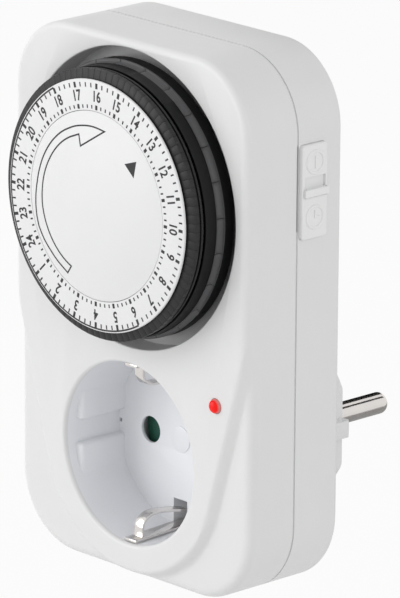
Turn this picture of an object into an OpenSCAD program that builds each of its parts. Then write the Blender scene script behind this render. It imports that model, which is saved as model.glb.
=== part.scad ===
// Plug-in timer switch: a housing in two shells with a plug at the back, a socket
// at the front, and a 24-hour program dial above the socket.
//
// +X is to the right seen from the front, +Y points into the wall, +Z is up.
// The origin is the centre of the plug's end face, on the common axis of plug and
// socket. Inside the modules a depth is measured from the front face backwards.

/* [Housing] */
// Width of the housing
body_w = 72; // [70:1:84]
// Height of the housing above the plug axis
body_up = 90.5; // [89.5:0.5:98]
// Height of the housing below the plug axis
body_down = 27.3; // [26.5:0.1:34]
// Depth of the housing without plug and dial
body_d = 27.3; // [25:0.1:32]
// Depth of the front shell, from the front face to the parting line
parting_d = 14.3; // [12.6:0.1:14.5]
// Radius of the four outline corners
corner_r = 16.5; // [12:0.5:18]
// Radius of the front edge
front_edge_r = 2.2; // [1:0.1:2.4]
// Radius of the rear edge
rear_edge_r = 1.2; // [0.6:0.1:2]
// Wall thickness of the shells
wall = 2.2; // [1.8:0.1:2.4]
// Depth of the step beside the raised field of the front
field_step = 1.8; // [0.8:0.1:2]
// Radius of the raised field round the socket
field_r = 26.5; // [25:0.1:27]
// Angle of the raised field's flanks from the vertical
field_angle = 16; // [12:1:18]

/* [Plug] */
// Height of the plug body behind the housing
plug_h = 20.5; // [18:0.1:22]
// Radius of the plug body
plug_r = 18.8; // [18.2:0.1:19.2]
// Distance from the plug axis to the flat sides
plug_flat = 17; // [16.6:0.1:17.5]
// Diameter of a plug pin
pin_d = 4.8; // [4.6:0.1:5]
// Length of a plug pin outside the plug body
pin_len = 19; // [18:0.5:20]
// Distance between the two pins
pin_pitch = 19; // [18.6:0.1:19.4]

/* [Socket] */
// Radius of the socket well at its mouth
well_r = 20; // [19.6:0.1:20.4]
// Distance from the floor of the socket well to the housing's rear face
floor_to_rear = 11.8; // [11.5:0.1:12.4]
// Thickness of the well's wall
well_wall = 1.7; // [1.4:0.1:1.9]
// Thickness of the well's floor
floor_t = 2.2; // [1.8:0.1:2.6]
// Diameter of a pin hole
pin_hole_d = 5.8; // [5.4:0.1:6]
// Distance from the socket axis to the faces of the guide blocks
guide_x = 17.6; // [17.4:0.1:18.2]
// Half the width of the groove between the guide blocks
guide_gap = 2.6; // [2.3:0.1:3]
// Half the height of a pair of guide blocks
guide_z = 10.2; // [8:0.2:11]
// Width of an earth clip
clip_w = 3.6; // [3.6:0.1:5]
// Distance from the socket axis to the top of an earth clip's arch
clip_z = 14.4; // [13:0.1:15]

/* [Dial] */
// Height of the dial's axis above the plug axis
dial_z = 56.2; // [56:0.1:57]
// Radius of the dial's opening in the front shell
opening_r = 32.4; // [32:0.1:32.8]
// Depth of the collar round the opening
collar_d = 6; // [6:0.1:6.2]
// How far the dial stands out of the front face
dial_proud = 9.2; // [9:0.1:10]
// Radius of the white number ring
ring_r = 27.3; // [26.8:0.1:27.4]
// Radius of the circle where the number ring meets the centre disc
ring_inner_r = 20.4; // [18:0.1:21]
// Thickness of the number ring
ring_t = 0.45; // [0.4:0.05:0.5]
// Number of segments round the drum
segments = 96; // [48:48:96]
// Travel of a segment when it is pressed
segment_travel = 1.4; // [1:0.1:1.4]
// Radius of the drum's lower band
band_r = 27.9; // [27.8:0.1:28.4]
// Radius of the drum's flange
flange_r = 29.7; // [29:0.1:31]

/* [Movement] */
// Thickness of the movement plate
plate_t = 1.8; // [1.6:0.1:2]
// Module of the gear teeth
gear_module = 0.5; // [0.5:0.01:0.5]
// Teeth of the drive wheel under the drum
drive_teeth = 96; // [96:24:96]
// Teeth of the transfer pinion and of the motor pinion
pinion_teeth = 12; // [12:1:12]
// Teeth of the transfer wheel
transfer_teeth = 48; // [40:8:48]
// Radius of the motor
motor_r = 17.5; // [16:0.5:17.5]
// Length of the motor
motor_len = 9; // [8:0.5:9.5]

/* [Switch] */
// Height of the switch plate's middle above the plug axis
switch_z = 62; // [61.8:0.1:62.2]
// Length of the switch plate
switch_len = 20.2; // [18:0.2:24]
// Width of the switch plate
switch_w = 7.2; // [6.8:0.1:8]
// Travel of the slide
slide_travel = 2.2; // [1.6:0.1:2.2]
// How far the slide's ridge stands out of the housing's side
ridge_h = 1.9; // [1:0.1:2.4]

/* [Indicator] */
// Diameter of the indicator lens
led_d = 3.2; // [3:0.1:4]
// Distance of the lens from the plug axis to the right
led_x = 27; // [26:0.1:27.6]
// Height of the lens above the plug axis
led_z = 16.9; // [12:0.1:17.4]

/* [Hidden] */
$fn = 64;

// Clearances
press_gap = 0.02;
run_gap = 0.05;
fit_gap = 0.1;
free_gap = 0.3;

// Housing
front_y = -(body_d + plug_h);
corner_x = body_w / 2 - corner_r;
corner_top = body_up - corner_r;
corner_low = corner_r - body_down;
inner_r = corner_r - wall;
rear_wall_d = body_d - wall;
groove_w = 0.25;
groove_d = 0.35;
lip_len = 1.5;
lip_t = 0.9;

// Housing screws
screw_r = 1.45;
screw_head_r = 2.8;
screw_head_t = 1.8;
screw_len = 18.4;
screw_sink = 2.4;
screw_boss_r = 3.2;
screw_seat_r = 4.9;
boss_reach = inner_r - screw_boss_r - lip_t - fit_gap - 0.6;
boss_x = corner_x + boss_reach * sin(45);
boss_top = corner_top + boss_reach * sin(45);
boss_low = corner_low - boss_reach * sin(45);
screw_seat_d = body_d - screw_sink;

// Bars behind the socket, one in front of the other
bar_t = 0.8;
bar_w = 3;
bar_space = 0.8;
bar_clear = 0.7;

// Socket well, floor and shutter
well_d = body_d - floor_to_rear;
well_out_r = well_r + well_wall;
well_draft = 0.5;
well_rim = 0.2;
well_back = well_d + floor_t;
floor_r = well_r + 0.2;
chamber_r = 14.6;
cover_t = 1.2;
chamber_len = floor_to_rear - floor_t - cover_t - fit_gap - 2 * bar_t - bar_space - bar_clear - wall;
chamber_back = well_back + chamber_len;
cover_back = chamber_back + cover_t;
guide_front = 3.2;
guide_base = well_out_r - well_wall / 2;
lug_r = well_out_r + 2.2;
lug_t = 1.2;
lug_top = 12;
shutter_r = 13;
spring_t = 0.4;
spring_r = 2.4;
shutter_t = chamber_len - 2 * free_gap - fit_gap - spring_t;
shutter_half = 20;
shutter_hub_r = 3.4;
shutter_pivot_r = 1.5;
shutter_front = well_back + free_gap;

// Earth clips
clip_t = 0.6;
clip_base = well_r - 1.15;
clip_front = 2.2;
clip_bend = 1.4;
clip_end = well_d + 0.9;
earth_t = 0.8;

// Contacts and bars
contact_in_r = pin_d / 2 + 0.05;
contact_out_r = contact_in_r + 0.8;
contact_front = cover_back + fit_gap;
contact_len = 11.4;
contact_back = contact_front + contact_len;
contact_slit = 0.8;
pin_x = pin_pitch / 2;
tab_w = 5;

// Plug body
plug_core_r = plug_r - 2.4;
plug_spigot_r = plug_r + 0.2;
plug_end_t = 10.3;
plug_floor = body_d + plug_h - plug_end_t;
plug_rib = 1.9;
plug_flat_z = 9.8;
pin_head_r = 3.4;
pin_head_t = 1.2;
pin_tip_r = 1.6;
pin_neck_r = pin_d / 2 - 0.2;
pin_shoulder = 0.1;
plug_end = body_d + plug_h;
rivet_d = plug_floor - bar_t;
earth_groove = 3.2;
strip_w = 6;
strip_t = 0.8;
strip_in = plug_r - 1.6;
strip_cross_d = cover_back + 8;

// Dial levels, from the front backwards
ring_face = -dial_proud;
ring_back = ring_face + ring_t;
head_front = ring_back + fit_gap;
head_len = 3.4;
head_back = head_front + head_len;
band_front = head_back + segment_travel + fit_gap;
band_len = 2.8;
flange_front = band_front + band_len;
flange_t = 1.9;
flange_back = flange_front + flange_t;
foot_front = flange_back + free_gap;
foot_len = 1;
foot_back = foot_front + foot_len;
drum_back = foot_back + 0.75;
wheel_front = foot_back + segment_travel + 0.35;
wheel_t = 1.5;
wheel_back = wheel_front + wheel_t;
plate_front = collar_d;
plate_back = plate_front + plate_t;

// Dial radii and widths
drum_r = band_r - 1.4;
drum_in_r = drum_r - 1.7;
web_front = ring_back + 0.6;
web_t = 1.2;
hub_r = 4.6;
segment_in_r = drum_r + free_gap;
head_out_r = ring_r + 0.4;
stem_out_r = segment_in_r + 0.7;
foot_out_r = stem_out_r + 0.8;
head_w = 1.6;
stem_w = 0.7;
slot_w = stem_w + free_gap;
foot_w = 1;
pitch = 360 / segments;
first_pressable = 16;
notch_w = 0.6;
notch_d = 0.5;
ratchet_tip_r = drum_in_r - 1.1;
ratchet_root_r = drum_in_r - 0.3;
ratchet_front = 0.6;
ratchet_len = 2;
spindle_r = 2.5;
spindle_front = ring_face + 0.7;
hub_back = 0.4;
washer_t = 0.5;
disc_boss_r = 4;

// Click arms of the drive wheel
arm_r = ratchet_tip_r - 1.2;
arm_t = 0.9;
arm_span = 70;
arm_root = 12;
arm_front = ratchet_front + 0.2;
arm_len = 1.6;

// Gear train
drive_r = drive_teeth * gear_module / 2;
pinion_r = pinion_teeth * gear_module / 2;
transfer_r = transfer_teeth * gear_module / 2;
transfer_angle = -130;
motor_angle = 60;
transfer_x = (drive_r + pinion_r) * cos(transfer_angle);
transfer_z = dial_z + (drive_r + pinion_r) * sin(transfer_angle);
motor_x = transfer_x + (transfer_r + pinion_r) * cos(motor_angle);
motor_z = transfer_z + (transfer_r + pinion_r) * sin(motor_angle);
arbor_r = 1.5;
bearing_r = 3.2;
train_front = plate_back + 1.2;
train_back = train_front + wheel_t;
bearing_back = train_front - free_gap;
shaft_r = 1;
motor_front = train_back + 1.5;
motor_back = motor_front + motor_len;
motor_nose_r = 3;
motor_lug_r = 3;
motor_lug_t = 1;
motor_lug_angle = -60;
motor_lug_out = 2.5;
motor_lug_at = motor_r + motor_lug_out;
post_r = 2.6;

// Trip lever and microswitch
trip_angle = 45;
nose_in_r = 27;
nose_len = 2;
nose_w = 2;
nose_front = foot_back + 0.45;
nose_x = (nose_in_r + nose_len / 2) * cos(trip_angle);
nose_z = dial_z + (nose_in_r + nose_len / 2) * sin(trip_angle);
lever_front = plate_back + 1.6;
lever_t = 1.5;
lever_back = lever_front + lever_t;
lever_w = 3;
pivot_d = plate_back + 2.6;
pivot_z = switch_z - 2;
lever_hub_r = 1.8;
lever_pin_r = 1;
lever_left = nose_x - lever_w / 2 + 0.1;
lever_right = lever_left + 8.6;
tongue_right = lever_right + 4;
tongue_top = pivot_z - 5.5;
tongue_h = 2;
ear_t = 1.4;
micro_front = plate_back + 4.6;
micro_clear = 4.1;
micro_back = rear_wall_d - micro_clear;
micro_w = 6.4;
micro_len = 19.8;
micro_z = pivot_z + 6;
micro_x = lever_left + lever_w / 2;
button_r = 1;
button_front = lever_back + fit_gap;
terminal_w = 2.2;
terminal_t = 0.6;

// Mode slide
plate_proud = 0.6;
plate_seat = 0.5;
switch_front = parting_d + 0.5;
switch_mid = switch_front + switch_w / 2;
window_low = switch_z - 1.2;
window_h = 2.1 + slide_travel + 0.2;
ridge_t = 1.7;
ridge_low = window_low + 0.3;
ridge_w = 5.4;
shank_w = 3.8;
slider_t = 1.4;
slider_x = body_w / 2 - wall - free_gap - slider_t;
slider_w = 7;
slider_low = ridge_low - 3.6;
slider_high = ridge_low + ridge_t + 3.6;
ramp_top = tongue_top - tongue_h - 0.2;
ramp_h = slide_travel + 0.3;
ramp_low_d = lever_back - 0.4;
ramp_high_d = lever_back + fit_gap;
ramp_back_d = lever_back + 5;

// Indicator
led_r = led_d / 2;
led_flange_r = led_r + 0.6;
led_back = wall + 2.2;
board_front = wall + 5.2;
board_t = 1.2;
board_w = 6.8;
board_len = 14;
board_x = led_x - 0.7;
board_z = led_z - 3;
board_post_r = 1.2;

// ---- helpers -------------------------------------------------------------

// Puts a piece whose depths are measured from the front face into place.
module placed() translate([0, front_y, 0]) children();

// A flat outline in the X-Z plane, as thick as the depths from a to b.
module slab(a, b) translate([0, b, 0]) rotate([90, 0, 0]) linear_extrude(b - a) children();

// A round bar along Y from depth a to depth b.
module rod(a, b, r, x = 0, z = 0)
    translate([x, a, z]) rotate([-90, 0, 0]) cylinder(r = r, h = b - a);

// A half profile of radius and depth, turned round an axis along Y.
module turned(x = 0, z = 0)
    translate([x, 0, z]) rotate([-90, 0, 0]) rotate_extrude() children();

// A box given by its limits in X, depth and Z.
module limits(x, d, z)
    translate([x[0], d[0], z[0]]) cube([x[1] - x[0], d[1] - d[0], z[1] - z[0]]);

// Outline of the housing, drawn in by inset.
module outline(inset = 0) {
    r = corner_r - inset;
    translate([-corner_x, -body_down + inset]) square([2 * corner_x, body_up + body_down - 2 * inset]);
    translate([-body_w / 2 + inset, corner_low])
        square([body_w - 2 * inset, corner_top - corner_low]);
    for (x = [-corner_x, corner_x], z = [corner_low, corner_top]) translate([x, z]) circle(r);
}

// Section of the housing's rim: len wide, from depth a to depth b, edges rounded.
module rim_section(len, a, b, front_edge, rear_edge) {
    middle = (a + b) / 2;
    translate([0, a]) square([len - front_edge, middle - a]);
    translate([0, middle]) square([len - rear_edge, b - middle]);
    translate([0, a + front_edge]) square([len, b - a - front_edge - rear_edge]);
    if (front_edge > 0) translate([len - front_edge, a + front_edge]) circle(front_edge);
    if (rear_edge > 0) translate([len - rear_edge, b - rear_edge]) circle(rear_edge);
}

// Solid housing body from depth a to depth b with rounded front and rear edges.
module housing_block(a, b, front_edge = 0, rear_edge = 0) {
    middle_z = (body_up - body_down) / 2;
    for (side = [0, 1]) mirror([side, 0, 0]) {
        translate([corner_x, 0, corner_top]) rotate([-90, -90, 0])
            rotate_extrude(angle = 90) rim_section(corner_r, a, b, front_edge, rear_edge);
        translate([corner_x, 0, corner_low]) rotate([-90, 0, 0])
            rotate_extrude(angle = 90) rim_section(corner_r, a, b, front_edge, rear_edge);
    }
    translate([0, 0, corner_low]) linear_extrude(corner_top - corner_low)
        for (side = [0, 1]) mirror([side, 0])
            rim_section(body_w / 2, a, b, front_edge, rear_edge);
    translate([-corner_x, 0, middle_z]) rotate([90, 0, 90]) linear_extrude(2 * corner_x)
        for (side = [0, 1]) mirror([0, side]) rotate(90) mirror([0, 1])
            rim_section((body_up + body_down) / 2, a, b, front_edge, rear_edge);
}

// Outline of the raised field: a round bottom whose flanks flare to the sides.
module field_outline(r) {
    touch_x = r * cos(field_angle);
    touch_z = -r * sin(field_angle);
    side_z = touch_z + (body_w - touch_x) / tan(field_angle);
    circle(r);
    polygon([
        [-touch_x, touch_z], [touch_x, touch_z], [body_w, side_z],
        [body_w, 2 * body_up], [-body_w, 2 * body_up], [-body_w, side_z]
    ]);
}

// Places a child at each of the four housing screws.
module at_screws() for (x = [-boss_x, boss_x], z = [boss_low, boss_top]) translate([x, 0, z]) children();

module on_dial() translate([0, 0, dial_z]) children();

// Wedge that cuts a ring sector, symmetric about the X axis.
module wedge(r, half) polygon([[0, 0], [r, -r * tan(half)], [r, r * tan(half)]]);

// Involute gear outline with a tooth centred on the X axis.
pressure = 25;
backlash = 0.06;
flank_steps = 3;
function involute(base_r, a) = [
    base_r * (cos(a) + a * PI / 180 * sin(a)),
    base_r * (sin(a) - a * PI / 180 * cos(a))
];
function turn(p, a) = [p[0] * cos(a) - p[1] * sin(a), p[0] * sin(a) + p[1] * cos(a)];
function roll(base_r, r) = sqrt(max(r * r / (base_r * base_r) - 1, 0)) * 180 / PI;
function gear_points(teeth) =
    let (
        r = teeth * gear_module / 2,
        base_r = r * cos(pressure),
        tip_r = r + 0.9 * gear_module,
        root_r = r - 1.2 * gear_module,
        start_r = max(base_r, root_r),
        at_pitch = tan(pressure) * 180 / PI - pressure,
        half = 90 / teeth - backlash / r * 90 / PI + at_pitch,
        low = roll(base_r, start_r),
        high = roll(base_r, tip_r),
        flank = [for (i = [0:flank_steps]) involute(base_r, low + (high - low) * i / flank_steps)],
        right = root_r < base_r ? concat([[root_r, 0]], flank) : flank,
        tooth = concat(
            [for (p = right) turn(p, -half)],
            [for (i = [len(right) - 1:-1:0]) turn([right[i][0], -right[i][1]], half)]
        )
    )
    [for (t = [0:teeth - 1], p = tooth) turn(p, t * 360 / teeth)];
module gear(teeth) polygon(gear_points(teeth));

// Strip of sheet metal of thickness t along a centre line.
function direction(p, i) =
    let (a = p[max(i - 1, 0)], b = p[min(i + 1, len(p) - 1)], v = b - a) v / norm(v);
function strip_points(p, t) = concat(
    [for (i = [0:len(p) - 1]) let (v = direction(p, i)) p[i] + t / 2 * [-v[1], v[0]]],
    [for (i = [len(p) - 1:-1:0]) let (v = direction(p, i)) p[i] - t / 2 * [-v[1], v[0]]]
);

// ---- housing -------------------------------------------------------------

module front_shell() color("white") placed() difference() {
    union() {
        difference() {
            front_shell_body();
            slab(wall + field_step, parting_d + 1) outline(wall);
            slab(wall, wall + field_step + 0.1) intersection() {
                outline(wall);
                field_outline(field_r - wall);
            }
        }
        intersection() {
            housing_block(field_step, parting_d);
            union() {
                rod(1, collar_d, opening_r + 1.6, 0, dial_z);
                at_screws() rod(wall / 2, parting_d, screw_boss_r);
                for (x = plate_screw_x) rod(wall / 2, plate_front, post_r, x, plate_screw_z);
            }
        }
        for (z = board_post_z) rod(field_step + 0.2, board_front, board_post_r, board_post_x, z);
    }
    rod(-1, collar_d + 1, opening_r, 0, dial_z);
    rod(-1, wall + field_step + 1, well_out_r + fit_gap);
    rod(-1, led_back, led_r + fit_gap, led_x, led_z);
    at_screws() rod(screw_seat_d - screw_len, parting_d + 1, screw_r + run_gap);
    for (x = plate_screw_x)
        rod(plate_front - 2.6, plate_front + 1, plate_screw_r + run_gap, x, plate_screw_z);
    parting_groove(parting_d - groove_w, parting_d + 1);
}

module front_shell_body() {
    housing_block(field_step, parting_d, front_edge_r);
    intersection() {
        housing_block(0, parting_d, front_edge_r);
        slab(0, parting_d) field_outline(field_r);
    }
}

// Shallow groove that runs round the housing where the two shells meet.
module parting_groove(a, b) slab(a, b) difference() {
    outline(-1);
    outline(groove_d);
}

module rear_shell() color("white") placed() difference() {
    union() {
        difference() {
            housing_block(parting_d, body_d, 0, rear_edge_r);
            slab(parting_d - 1, rear_wall_d) outline(wall);
        }
        difference() {
            union() {
                slab(parting_d - lip_len, parting_d + 1) outline(wall + fit_gap);
                slab(parting_d, parting_d + 1) outline(wall / 2);
            }
            slab(parting_d - lip_len - 1, parting_d + 2) outline(wall + fit_gap + lip_t);
            limits([slider_x - free_gap, body_w / 2 - wall + 0.01], [parting_d - lip_len - 1, body_d],
                   [ramp_top - 4 - free_gap, slider_high + slide_travel + free_gap]);
        }
        intersection() {
            slab(parting_d, rear_wall_d + 0.1) outline(wall / 2);
            at_screws() rod(parting_d, body_d, screw_seat_r);
        }
    }
    rod(rear_wall_d - 1, body_d + 1, plug_spigot_r + press_gap);
    at_screws() rod(parting_d - 1, body_d + 1, screw_r + free_gap);
    at_screws() rod(screw_seat_d, body_d + 1, screw_head_r + free_gap);
    parting_groove(parting_d - 1, parting_d + groove_w);
    limits([body_w / 2 - plate_seat, body_w], [switch_front - fit_gap, switch_front + switch_w + fit_gap],
           [switch_z - switch_len / 2 - fit_gap, switch_z + switch_len / 2 + fit_gap]);
    limits([body_w / 2 - wall - 1, body_w],
           [switch_mid - shank_w / 2 - free_gap, switch_mid + shank_w / 2 + free_gap],
           [window_low, window_low + window_h]);
}

// Hollow plug body: its spigot sits in the rear wall, its thick end holds the pins.
module plug_body() color("white") placed() difference() {
    union() {
        slab(body_d - 0.1, plug_end) plug_outline();
        rod(rear_wall_d, body_d, plug_spigot_r);
    }
    rod(rear_wall_d - 1, plug_floor, plug_core_r);
    for (x = [-pin_x, pin_x]) rod(plug_floor - 1, plug_end + 1, pin_neck_r + press_gap, x);
    for (side = [0, 1]) mirror([0, 0, side]) {
        limits([-earth_groove, earth_groove], [strip_cross_d - free_gap, plug_end + 1],
               [strip_in, plug_r + 1]);
        limits([-earth_groove, earth_groove],
               [strip_cross_d - free_gap, strip_cross_d + earth_t + free_gap], [8, plug_r]);
    }
}

// Section of the plug body: a circle with flat sides and a rib along each flat.
module plug_outline() {
    difference() {
        circle(plug_r);
        for (side = [0, 1]) mirror([side, 0])
            translate([plug_flat, -plug_flat_z]) square([plug_r, 2 * plug_flat_z]);
    }
    intersection() {
        circle(plug_r);
        square([2 * plug_r, 2 * plug_rib], center = true);
    }
}

module housing_screws() color("silver") placed() at_screws() {
    rod(screw_seat_d, screw_seat_d + screw_head_t, screw_head_r);
    rod(screw_seat_d - screw_len + 1, screw_seat_d, screw_r);
}

// ---- socket --------------------------------------------------------------

module socket_well() color("whitesmoke") placed() {
    difference() {
        union() {
            rod(-well_rim, chamber_back, well_out_r);
            slab(wall + field_step, wall + field_step + lug_t) intersection() {
                circle(lug_r);
                translate([-lug_r, -lug_r]) square([2 * lug_r, lug_r + lug_top]);
            }
        }
        translate([0, -well_rim, 0]) rotate([-90, 0, 0])
            cylinder(r1 = well_r, r2 = well_r - well_draft, h = well_d + well_rim);
        rod(well_d, chamber_back + 1, floor_r + press_gap);
    }
    intersection() {
        rod(guide_front, well_d, guide_base);
        for (side = [0, 1], up = [0, 1]) mirror([side, 0, 0]) mirror([0, 0, up])
            limits([guide_x, guide_base], [guide_front, well_d], [guide_gap, guide_z]);
    }
}

// Floor of the well with the pin holes, and behind it the chamber of the shutter.
module socket_floor() color("whitesmoke") placed() {
    difference() {
        rod(well_d, chamber_back, floor_r);
        rod(well_back, chamber_back + 1, chamber_r);
        for (x = [-pin_x, pin_x]) rod(well_d - 1, well_back + 1, pin_hole_d / 2, x);
        for (side = [0, 1]) mirror([0, 0, side])
            limits([-clip_w / 2 - free_gap, clip_w / 2 + free_gap], [well_d - 1, chamber_back + 1],
                   [clip_z - 0.9, clip_base + clip_t]);
    }
    rod(well_d + floor_t / 2, chamber_back, shutter_pivot_r);
}

module shutter() color("seagreen") placed()
    slab(shutter_front, shutter_front + shutter_t) difference() {
        union() {
            circle(shutter_hub_r);
            for (side = [0, 180]) rotate(side) intersection() {
                circle(shutter_r);
                wedge(2 * shutter_r, shutter_half);
            }
        }
        circle(shutter_pivot_r + run_gap);
    }

module shutter_cover() color("whitesmoke") placed() slab(chamber_back, cover_back) difference() {
    circle(well_r);
    for (x = [-pin_x, pin_x]) translate([x, 0]) circle(pin_hole_d / 2 + 0.2);
    for (side = [0, 1]) mirror([0, side])
        translate([-clip_w / 2 - free_gap, clip_base - clip_t]) square([clip_w + 2 * free_gap, 4]);
}

// Torsion spring round the shutter's pivot, with one leg to the chamber's wall.
module shutter_spring() color("silver") placed() {
    front = shutter_front + shutter_t + fit_gap;
    slab(front, front + spring_t) difference() {
        circle(spring_r);
        circle(shutter_pivot_r + run_gap);
    }
    slab(front, front + spring_t) rotate(75)
        translate([spring_r - 0.2, -spring_t / 2]) square([chamber_r - spring_r + 0.2 - fit_gap, spring_t]);
}

// ---- earth path ----------------------------------------------------------

// Centre line of the lower clip in depth and height: along the well, round the
// front bend, and back as an arch whose free end stands in the floor's slot.
function clip_line() =
    let (low = -clip_base, high = -clip_z)
    concat(
        [[cover_back + earth_t / 2, low], [clip_front + clip_bend, low]],
        [for (a = [15:15:75]) [
            clip_front + clip_bend - clip_bend * sin(a), low + clip_bend * (1 - cos(a))
        ]],
        [for (a = [75:-15:0]) [
            clip_front + 2.2 - 1.7 * sin(a), high - 1.7 + 1.7 * cos(a)
        ]],
        [for (i = [1:4]) [
            clip_front + 2.2 + (clip_end - clip_front - 2.2) * i / 4, high - 1.2 * pow(i / 4, 2)
        ]]
    );

module earth_clips() color("silver") placed() {
    for (side = [0, 1]) mirror([0, 0, side])
        translate([-clip_w / 2, 0, 0]) rotate([90, 0, 90]) linear_extrude(clip_w)
            polygon(strip_points(clip_line(), clip_t));
    limits([-clip_w / 2, clip_w / 2], [cover_back, cover_back + earth_t],
           [-clip_base - clip_t / 2, clip_base + clip_t / 2]);
}

module earth_link() color("silver") placed() rod(cover_back + earth_t, strip_cross_d, clip_w / 2);

module plug_earth_strips() color("silver") placed() {
    limits([-strip_w / 2, strip_w / 2], [strip_cross_d, strip_cross_d + earth_t],
           [-strip_in - strip_t - fit_gap, strip_in + strip_t + fit_gap]);
    for (side = [0, 1]) mirror([0, 0, side])
        limits([-strip_w / 2, strip_w / 2], [strip_cross_d, plug_end - 1.5],
               [strip_in + fit_gap, strip_in + strip_t + fit_gap]);
}

// ---- live and neutral path -----------------------------------------------

module contact_tube(x) difference() {
    rod(contact_front, contact_back, contact_out_r, x);
    rod(contact_front - 1, contact_back + 1, contact_in_r, x);
    limits([x - contact_slit / 2, x + contact_slit / 2], [contact_front - 1, contact_back - 3],
           [-contact_out_r - 1, 0]);
}

module contact_live() color("goldenrod") placed() {
    contact_tube(pin_x);
    limits([pin_x - 2, pin_x + 2], [contact_front, contact_back],
           [contact_out_r - 0.4, contact_out_r + bar_t - 0.4]);
}

module contact_neutral() color("goldenrod") placed() {
    contact_tube(-pin_x);
    limits([-pin_x - contact_out_r - bar_t + 0.4, -pin_x - contact_out_r + 0.4],
           [contact_front, contact_back], [-tab_w / 2, tab_w / 2]);
}

// A round pin with a rounded tip and a rivet head inside the plug body.
module plug_pin(x) turned(x) {
    r = pin_d / 2;
    end = plug_end + pin_len;
    translate([0, rivet_d - pin_head_t]) square([pin_head_r, pin_head_t]);
    translate([0, rivet_d - 0.1]) square([pin_neck_r, plug_end + pin_shoulder - rivet_d + 0.2]);
    translate([0, plug_end + pin_shoulder]) square([r, pin_len - pin_tip_r - pin_shoulder]);
    translate([0, end - 2 * pin_tip_r]) square([r - pin_tip_r, 2 * pin_tip_r]);
    translate([r - pin_tip_r, end - pin_tip_r]) intersection() {
        circle(pin_tip_r);
        square(pin_tip_r + 1);
    }
}

module plug_pin_live() color("silver") placed() plug_pin(pin_x);
module plug_pin_neutral() color("silver") placed() plug_pin(-pin_x);

neutral_in = pin_x + contact_out_r + bar_t - 0.4;
module neutral_link() color("goldenrod") placed() difference() {
    union() {
        limits([-neutral_in - bar_t, -neutral_in], [contact_back - 5, plug_floor],
               [-tab_w / 2, tab_w / 2]);
        limits([-neutral_in - bar_t, -pin_x], [rivet_d, plug_floor], [-tab_w / 2, tab_w / 2]);
        rod(rivet_d, plug_floor, pin_head_r, -pin_x);
    }
    rod(rivet_d - 1, plug_floor + 1, pin_neck_r + press_gap, -pin_x);
}

supply_in = pin_x + contact_out_r + 1.4;
supply_d = rear_wall_d - bar_clear;
supply_drop = 6.5;
supply_end_z = micro_z - supply_drop;
end_w = 2.5;
module supply_bar() color("goldenrod") placed() difference() {
    union() {
        rod(rivet_d, plug_floor, pin_head_r, pin_x);
        limits([pin_x, supply_in + bar_t], [rivet_d, plug_floor], [-tab_w / 2, tab_w / 2]);
        limits([supply_in, supply_in + bar_t], [supply_d - bar_t, plug_floor], [-tab_w / 2, tab_w / 2]);
        limits([supply_in, supply_in + bar_w], [supply_d - bar_t, supply_d],
               [-tab_w / 2, supply_end_z]);
        limits([supply_in, micro_x + 2], [supply_d - bar_t, supply_d],
               [supply_end_z - end_w, supply_end_z]);
    }
    rod(rivet_d - 1, plug_floor + 1, pin_neck_r + press_gap, pin_x);
}

switched_low = contact_out_r + bar_t - 0.4;
switched_end_z = micro_z + end_w / 2;
switched_left = pin_x - 1.5;
switched_right = pin_x + 1;
module switched_bar() color("goldenrod") placed() {
    limits([switched_left, switched_right], [contact_front, contact_back - 3],
           [switched_low, switched_low + bar_t]);
    limits([switched_left, switched_right], [contact_front, contact_front + bar_t],
           [switched_low, switched_end_z]);
    limits([switched_left, micro_x + 2], [contact_front, contact_front + bar_t],
           [switched_end_z - end_w, switched_end_z]);
}

// ---- dial ----------------------------------------------------------------

module at_segments() for (i = [0:segments - 1]) rotate((i + 0.5) * pitch) children();

module dial_drum() color([0.13, 0.13, 0.14]) placed() on_dial() {
    turned() difference() {
        union() {
            translate([spindle_r + run_gap, web_front + web_t + free_gap])
                square([6.5 - spindle_r - run_gap, hub_back - web_front - web_t - free_gap]);
            translate([disc_boss_r + free_gap, web_front])
                square([drum_in_r - disc_boss_r, web_t + free_gap]);
            translate([drum_in_r, ring_back]) square([drum_r - drum_in_r, drum_back - ring_back]);
            translate([ring_inner_r, ring_back]) square([drum_r - ring_inner_r, web_t + 0.4]);
        }
        translate([6.5, web_front + web_t]) square([drum_in_r - 6.5, free_gap + 0.1]);
    }
    slab(band_front, flange_front + 0.1) difference() {
        circle(band_r);
        circle(drum_r - 0.5);
        at_segments() translate([drum_r, -slot_w / 2]) square([3, slot_w]);
    }
    slab(flange_front, flange_back) difference() {
        circle(flange_r);
        circle(drum_r - 0.5);
        at_segments() translate([drum_r, -slot_w / 2])
            square([stem_out_r + free_gap - drum_r, slot_w]);
        at_segments() translate([flange_r - notch_d, -notch_w / 2]) square([1, notch_w]);
    }
    slab(ratchet_front, ratchet_front + ratchet_len) difference() {
        circle(drum_in_r + 0.5);
        ratchet_hole();
    }
}

// Saw teeth that let the drum be turned one way by hand.
module ratchet_hole() polygon([
    for (i = [0:segments - 1], e = [0, 1])
        let (r = e == 0 ? ratchet_tip_r : ratchet_root_r, a = (i + e * 0.94) * pitch)
        [r * cos(a), r * sin(a)]
]);

// One segment: a head outside, a stem through the drum, and a foot that trips.
module segment(i) rotate([0, -(i + 0.5) * pitch, 0]) {
    limits([segment_in_r, head_out_r], [head_front, head_back], [-head_w / 2, head_w / 2]);
    limits([segment_in_r, stem_out_r], [head_back - 0.1, foot_front + 0.1], [-stem_w / 2, stem_w / 2]);
    limits([segment_in_r, foot_out_r], [foot_front, foot_back], [-foot_w / 2, foot_w / 2]);
}

module dial_segments() color([0.13, 0.13, 0.14]) placed() on_dial()
    for (i = [0:segments - 1]) if (i < first_pressable || i > first_pressable + 3) segment(i);

module one_segment(k) color([0.13, 0.13, 0.14]) placed() on_dial() segment(first_pressable + k);
module segment_1() one_segment(0);
module segment_2() one_segment(1);
module segment_3() one_segment(2);
module segment_4() one_segment(3);

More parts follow.
